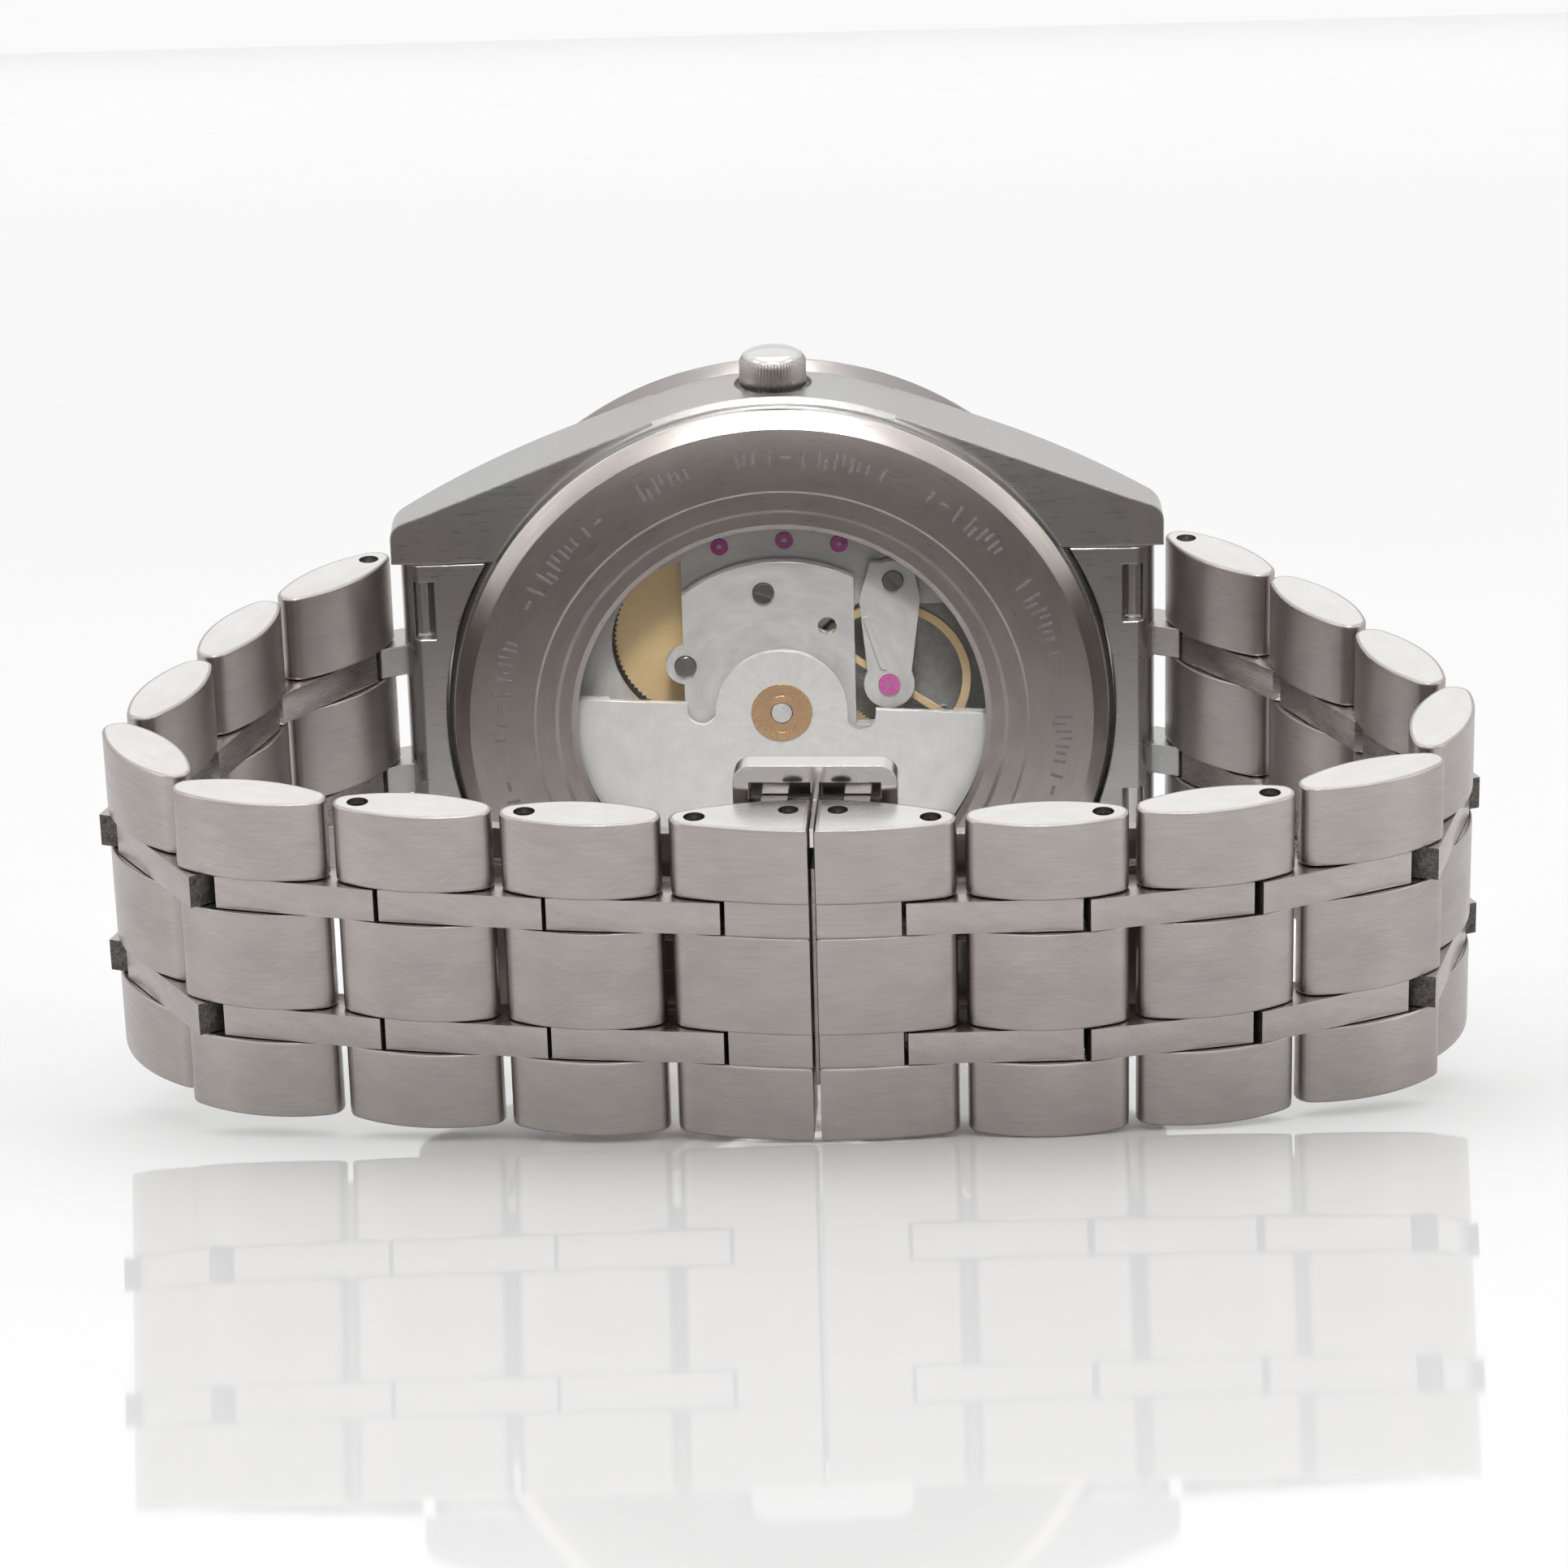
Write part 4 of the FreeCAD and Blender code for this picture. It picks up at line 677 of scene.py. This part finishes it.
def spun(bm, outline, steps=240, material=0):
    # outline of (radius, height) turned round the z axis
    rings = []
    for k in range(steps):
        a = 2 * math.pi * k / steps
        rings.append([bm.verts.new((r * math.cos(a), r * math.sin(a), z)) for r, z in outline])
    for k in range(steps):
        near = rings[k]
        far = rings[(k + 1) % steps]
        for i in range(len(outline)):
            j = (i + 1) % len(outline)
            bm.faces.new((near[i], far[i], far[j], near[j])).material_index = material


back = {"outline": [(12.0, 0.55), (12.35, 0.3), (13.1, 0.3), (13.3, 0.08), (14.4, 0.08), (14.55, 0.0),
                    (18.3, 0.0), (19.2, 0.75), (19.2, 1.7), (16.4, 1.7), (16.4, 3.2), (15.2, 3.2),
                    (15.2, 1.75), (12.8, 1.75), (12.8, 0.6), (12.0, 0.6)],
        "corner": 0.07, "polishedFrom": 19.12}


def buildCaseBack():
    bm = bmesh.new()
    outline = roundedCorners(back["outline"], back["corner"])
    spun(bm, outline)
    bmesh.ops.recalc_face_normals(bm, faces=bm.faces)
    for face in bm.faces:
        middle = face.calc_center_median()
        r = math.hypot(middle.x, middle.y)
        if r > back["polishedFrom"]:
            face.material_index = 1
    return bm


finishPiece(buildCaseBack(), "backRing", headPlace, ("backRing", "polished"), "case", ("caseback",))

marks = {"radius": 16.55, "height": 1.1, "stroke": 0.2, "words": (11, 6, 9, 5, 12, 7, 8, 4, 10, 6, 7),
         "space": 1.0, "gap": 2.2, "depth": 0.012}


def addBar(bm, radius, turn, lean, tall, stroke):
    # one short groove of the band, leaning a little
    half = stroke / 2
    corners = [(-half, -tall / 2), (half, -tall / 2), (half, tall / 2), (-half, tall / 2)]
    rings = []
    for size, z in ((0.55, -marks["depth"]), (1.0, 0.0)):
        ring = []
        for x, y in corners:
            x, y = x * size, y * (0.5 + size / 2)
            across = x * math.cos(lean) - y * math.sin(lean)
            outward = radius + x * math.sin(lean) + y * math.cos(lean)
            ring.append((outward * math.cos(turn) - across * math.sin(turn),
                         outward * math.sin(turn) + across * math.cos(turn), z))
        rings.append(ring)
    addRings(bm, rings)


def buildMarks():
    # a worn engraved band: plain short grooves in groups, no letters
    bm = bmesh.new()
    total = sum(marks["words"]) * marks["space"] + len(marks["words"]) * marks["gap"]
    step = 2 * math.pi / total
    angle = 0.0
    for number, word in enumerate(marks["words"]):
        for place in range(word):
            kind = (place * 5 + number * 3) % 7
            tall = marks["height"] * (1.0, 0.62, 1.0, 0.8, 0.55, 0.9, 0.7)[kind]
            lean = math.radians((0, 0, 6, 0, 90, 0, -6)[kind])
            addBar(bm, marks["radius"], angle * step, lean, tall, marks["stroke"])
            if kind in (0, 3, 5):
                addBar(bm, marks["radius"] + 0.3 * (kind - 3) / 3, (angle + 0.45) * step, lean, tall * 0.7,
                       marks["stroke"])
            angle += marks["space"]
        angle += marks["gap"]
    bmesh.ops.recalc_face_normals(bm, faces=bm.faces)
    return bm


finishPiece(buildMarks(), "backMarks", headPlace, ("engraving",), "case", smoothBelow=5)

crown = {"radius": 1.95, "grip": 2.0, "flutes": 60, "fluteDepth": 0.13, "capRadius": 1.66, "capInset": 0.1,
         "bore": 1.3}


def buildCrown():
    low, high = reachAlong("crown", crownWay)
    base = jointPlace("crown_turn")
    base = base + crownWay * (low - base.dot(crownWay))
    place = axesAt(base, twelveWay, crownWay)
    bm = bmesh.new()
    sides = crown["flutes"] * 6
    grip = crown["grip"]
    rings = []
    # outside of the grip, bottom to top, flutes fading into the rounded shoulders
    for z, r, deep in ((0.0, 1.62, 0), (0.02, 1.72, 0), (0.16, crown["radius"] - 0.1, 0.4),
                       (0.34, crown["radius"], 1), (grip - 0.34, crown["radius"], 1),
                       (grip - 0.16, crown["radius"] - 0.1, 0.4), (grip - 0.03, 1.76, 0), (grip, 1.70, 0)):
        ring = []
        for k in range(sides):
            a = 2 * math.pi * k / sides
            flute = crown["fluteDepth"] * deep * (0.5 - 0.5 * math.cos(crown["flutes"] * a)) ** 0.7
            ring.append(((r - flute) * math.cos(a), (r - flute) * math.sin(a), z))
        rings.append(ring)
    # polished domed cap
    rise = high - low
    capHeight = rise / mm - grip - crown["capInset"]
    for k in range(9):
        t = k / 8
        r = crown["capRadius"] * math.cos(t * math.pi / 2 * 0.97)
        z = grip - 0.02 + (capHeight + 0.02) * math.sin(t * math.pi / 2)
        rings.append([(r * math.cos(2 * math.pi * i / sides), r * math.sin(2 * math.pi * i / sides), z)
                      for i in range(sides)])
    addRings(bm, rings)
    for face in bm.faces:
        if face.calc_center_median().z > grip - 0.01:
            face.material_index = 1
    hollow = bmesh.new()
    # the bore takes the darker pin colour as painted shade inside the crown
    addRod(hollow, crown["bore"], -0.5, 1.45, material=2, sides=48)
    bm = cutOut(bm, hollow)
    finishPiece(bm, "crownGrip", place, ("linkFace", "polished", "pinSteelAndHoleShade"), "crown", ("crown",))


buildCrown()

spring = {"halfReach": 0.85, "strip": 0.14, "foot": 0.93, "top": 3.4, "folds": 6, "near": 5.1, "far": 5.6,
          "keep": 0.63}


def buildButtonSpring():
    # flat strip folded back and forth between the clasp base and the tongue of the button
    bm = bmesh.new()
    rise = (spring["top"] - spring["foot"] - spring["strip"]) / spring["folds"]
    reach = spring["halfReach"]
    for fold in range(spring["folds"] + 1):
        low = spring["foot"] + rise * fold
        corners = [(-reach, spring["near"]), (reach, spring["near"]), (reach, spring["far"]),
                   (-reach, spring["far"])]
        addPrism(bm, corners, low, low + spring["strip"], 0.03)
        if fold < spring["folds"]:
            side = 1 if fold % 2 == 0 else -1
            ends = sorted((side * (reach - spring["strip"]), side * reach))
            turned = [(ends[0], spring["near"]), (ends[1], spring["near"]), (ends[1], spring["far"]),
                      (ends[0], spring["far"])]
            addPrism(bm, turned, low + 0.02, low + rise + spring["strip"] - 0.02, 0.03)
    # the spring takes the same paler steel, painted light as on the link ends
    obj = finishPiece(bm, "buttonSpring", claspPlace, ("linkEndPaintedLight",), "clasp_base", ("button_spring",))
    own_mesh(obj)


buildButtonSpring()
print("case back, crown and spring built")

keptFinish = {
    "caseSatin": ["mid_case", "end_link_left", "end_link_right"],
    # the bezel gets the darkened steel, painted shade
    "bezelPaintedShade": ["bezel"],
    "polished": ["clasp_button", "dial_markers", "hour_hand", "minute_hand", "seconds_hand",
                 "spring_bars", "crown_tube"],
    "innerSatin": ["clasp_arm_left", "clasp_arm_right", "clasp_base", "clasp_hinge_pins", "winding_stem",
                   "setting_lever"],
    "rotorPlate": ["rotor"],
    "bearingBrass": ["rotor_bearing"],
    "bridgePlate": ["automatic_bridge", "train_bridge", "balance_cock"],
    "basePlate": ["main_plate", "movement_ring", "dial_ring"],
    "screwSteel": ["bridge_screws"],
    "gilt": ["barrel", "centre_wheel", "third_wheel", "fourth_wheel", "balance_wheel"],
    "wheelSteel": ["escape_wheel", "pallet_fork", "hairspring"],
    "ruby": ["jewels"],
    "gasketRubber": ["crystal_gasket", "caseback_gasket"],
    "dialLacquer": ["dial"],
    "sapphire": ["crystal", "caseback_glass"],
}
for finish, names in keptFinish.items():
    for name in names:
        if name in nodes:
            mesh = nodes[name].data
            mesh.materials.clear()
            mesh.materials.append(made[finish])
print("kept pieces finished")

studio = {"floorReach": 30.0, "floorColour": (0.74, 0.74, 0.742), "floorRough": 0.04, "floorIOR": 1.5,
          "behind": 0.96, "front": 0.78, "above": 1.2, "topLight": 1.0, "topSize": 0.5,
          "sideLight": 0.6, "frontLight": 0.15, "headLight": 0.008}


def buildFloor():
    # a wide white floor with a faint mirror in it
    bm = bmesh.new()
    reach = studio["floorReach"]
    corners = ((-reach, -reach), (reach, -reach), (reach, reach), (-reach, reach))
    bm.faces.new([bm.verts.new((x, y, 0.0)) for x, y in corners])
    obj = bpy.data.objects.new("floor", meshFrom(bm, "floor"))
    bpy.context.scene.collection.objects.link(obj)
    material, tree, shader = newMaterial("whiteGloss")
    coords = addNode(tree, "ShaderNodeTexCoord")
    haze = streaks(tree, coords.outputs["Object"], (60, 60, 60), 0, 3.0)
    paler = [c * 0.985 for c in studio["floorColour"]]
    colour = blendColours(tree, spread(tree, haze, 0.0, 1.0), studio["floorColour"], paler)
    tree.links.new(colour, shader.inputs["Base Color"])
    rough = spread(tree, haze, studio["floorRough"] * 0.8, studio["floorRough"] * 1.3)
    tree.links.new(rough, shader.inputs["Roughness"])
    shader.inputs["IOR"].default_value = studio["floorIOR"]
    obj.data.materials.append(material)


def buildWorld():
    # white room, a little dimmer on the viewer's side and brighter overhead
    world = bpy.data.worlds.new("studio")
    bpy.context.scene.world = world
    world.use_nodes = True
    tree = world.node_tree
    tree.nodes.clear()
    coords = addNode(tree, "ShaderNodeTexCoord")
    split = addNode(tree, "ShaderNodeSeparateXYZ")
    tree.links.new(coords.outputs["Generated"], split.inputs["Vector"])
    depth = spread(tree, split.outputs["Y"], studio["front"], studio["behind"], -0.6, 0.2)
    height = spread(tree, split.outputs["Z"], 0.0, studio["above"], 0.0, 0.62)
    brightest = addNode(tree, "ShaderNodeMath", operation="MAXIMUM")
    tree.links.new(depth, brightest.inputs[0])
    tree.links.new(height, brightest.inputs[1])
    sky = addNode(tree, "ShaderNodeBackground", {"Color": (1.0, 1.0, 1.0, 1.0)})
    tree.links.new(brightest.outputs["Value"], sky.inputs["Strength"])
    out = addNode(tree, "ShaderNodeOutputWorld")
    tree.links.new(sky.outputs["Background"], out.inputs["Surface"])


def addSoftLight(name, place, aim, power, size):
    lamp = bpy.data.lights.new(name, "AREA")
    lamp.shape = "RECTANGLE"
    lamp.size = size[0]
    lamp.size_y = size[1]
    lamp.energy = power
    obj = bpy.data.objects.new(name, lamp)
    bpy.context.scene.collection.objects.link(obj)
    obj.location = place
    obj.rotation_euler = (Vector(aim) - Vector(place)).to_track_quat("-Z", "Y").to_euler()
    return obj


buildFloor()
buildWorld()
addSoftLight("frontBox", (0.0, -0.42, 0.30), (0, 0.01, 0.02), studio["frontLight"], (0.35, 0.2))
headLamp = addSoftLight("headBox", (0.0, -0.10, 0.115), (0, 0.014, 0.022), studio["headLight"], (0.05, 0.03))
headLamp.data.spread = math.radians(20)
topBox = (studio["topSize"], studio["topSize"])
addSoftLight("topBox", (0.0, 0.10, 0.75), (0, 0, 0), studio["topLight"], topBox)
addSoftLight("leftBox", (-0.65, -0.25, 0.35), (0, 0, 0.02), studio["sideLight"], (0.3, 0.5))
addSoftLight("rightBox", (0.65, -0.25, 0.35), (0, 0, 0.02), studio["sideLight"], (0.3, 0.5))

view = {"place": (0.00031, -0.30972, 0.05922), "aim": (-0.00031, -0.00047, 0.01659), "roll": -1.512,
        "lens": 126.84}
lens = bpy.data.cameras.new("camera")
lens.lens = view["lens"]
lens.sensor_width = 36
lens.clip_start = 0.01
camera = bpy.data.objects.new("camera", lens)
bpy.context.scene.collection.objects.link(camera)
look = (Vector(view["aim"]) - Vector(view["place"])).to_track_quat("-Z", "Y").to_matrix().to_4x4()
roll = Matrix.Rotation(math.radians(view["roll"]), 4, "Z")
camera.matrix_world = Matrix.Translation(view["place"]) @ look @ roll
bpy.context.scene.camera = camera
bpy.context.scene.view_settings.view_transform = "Standard"
print("stage and camera set")
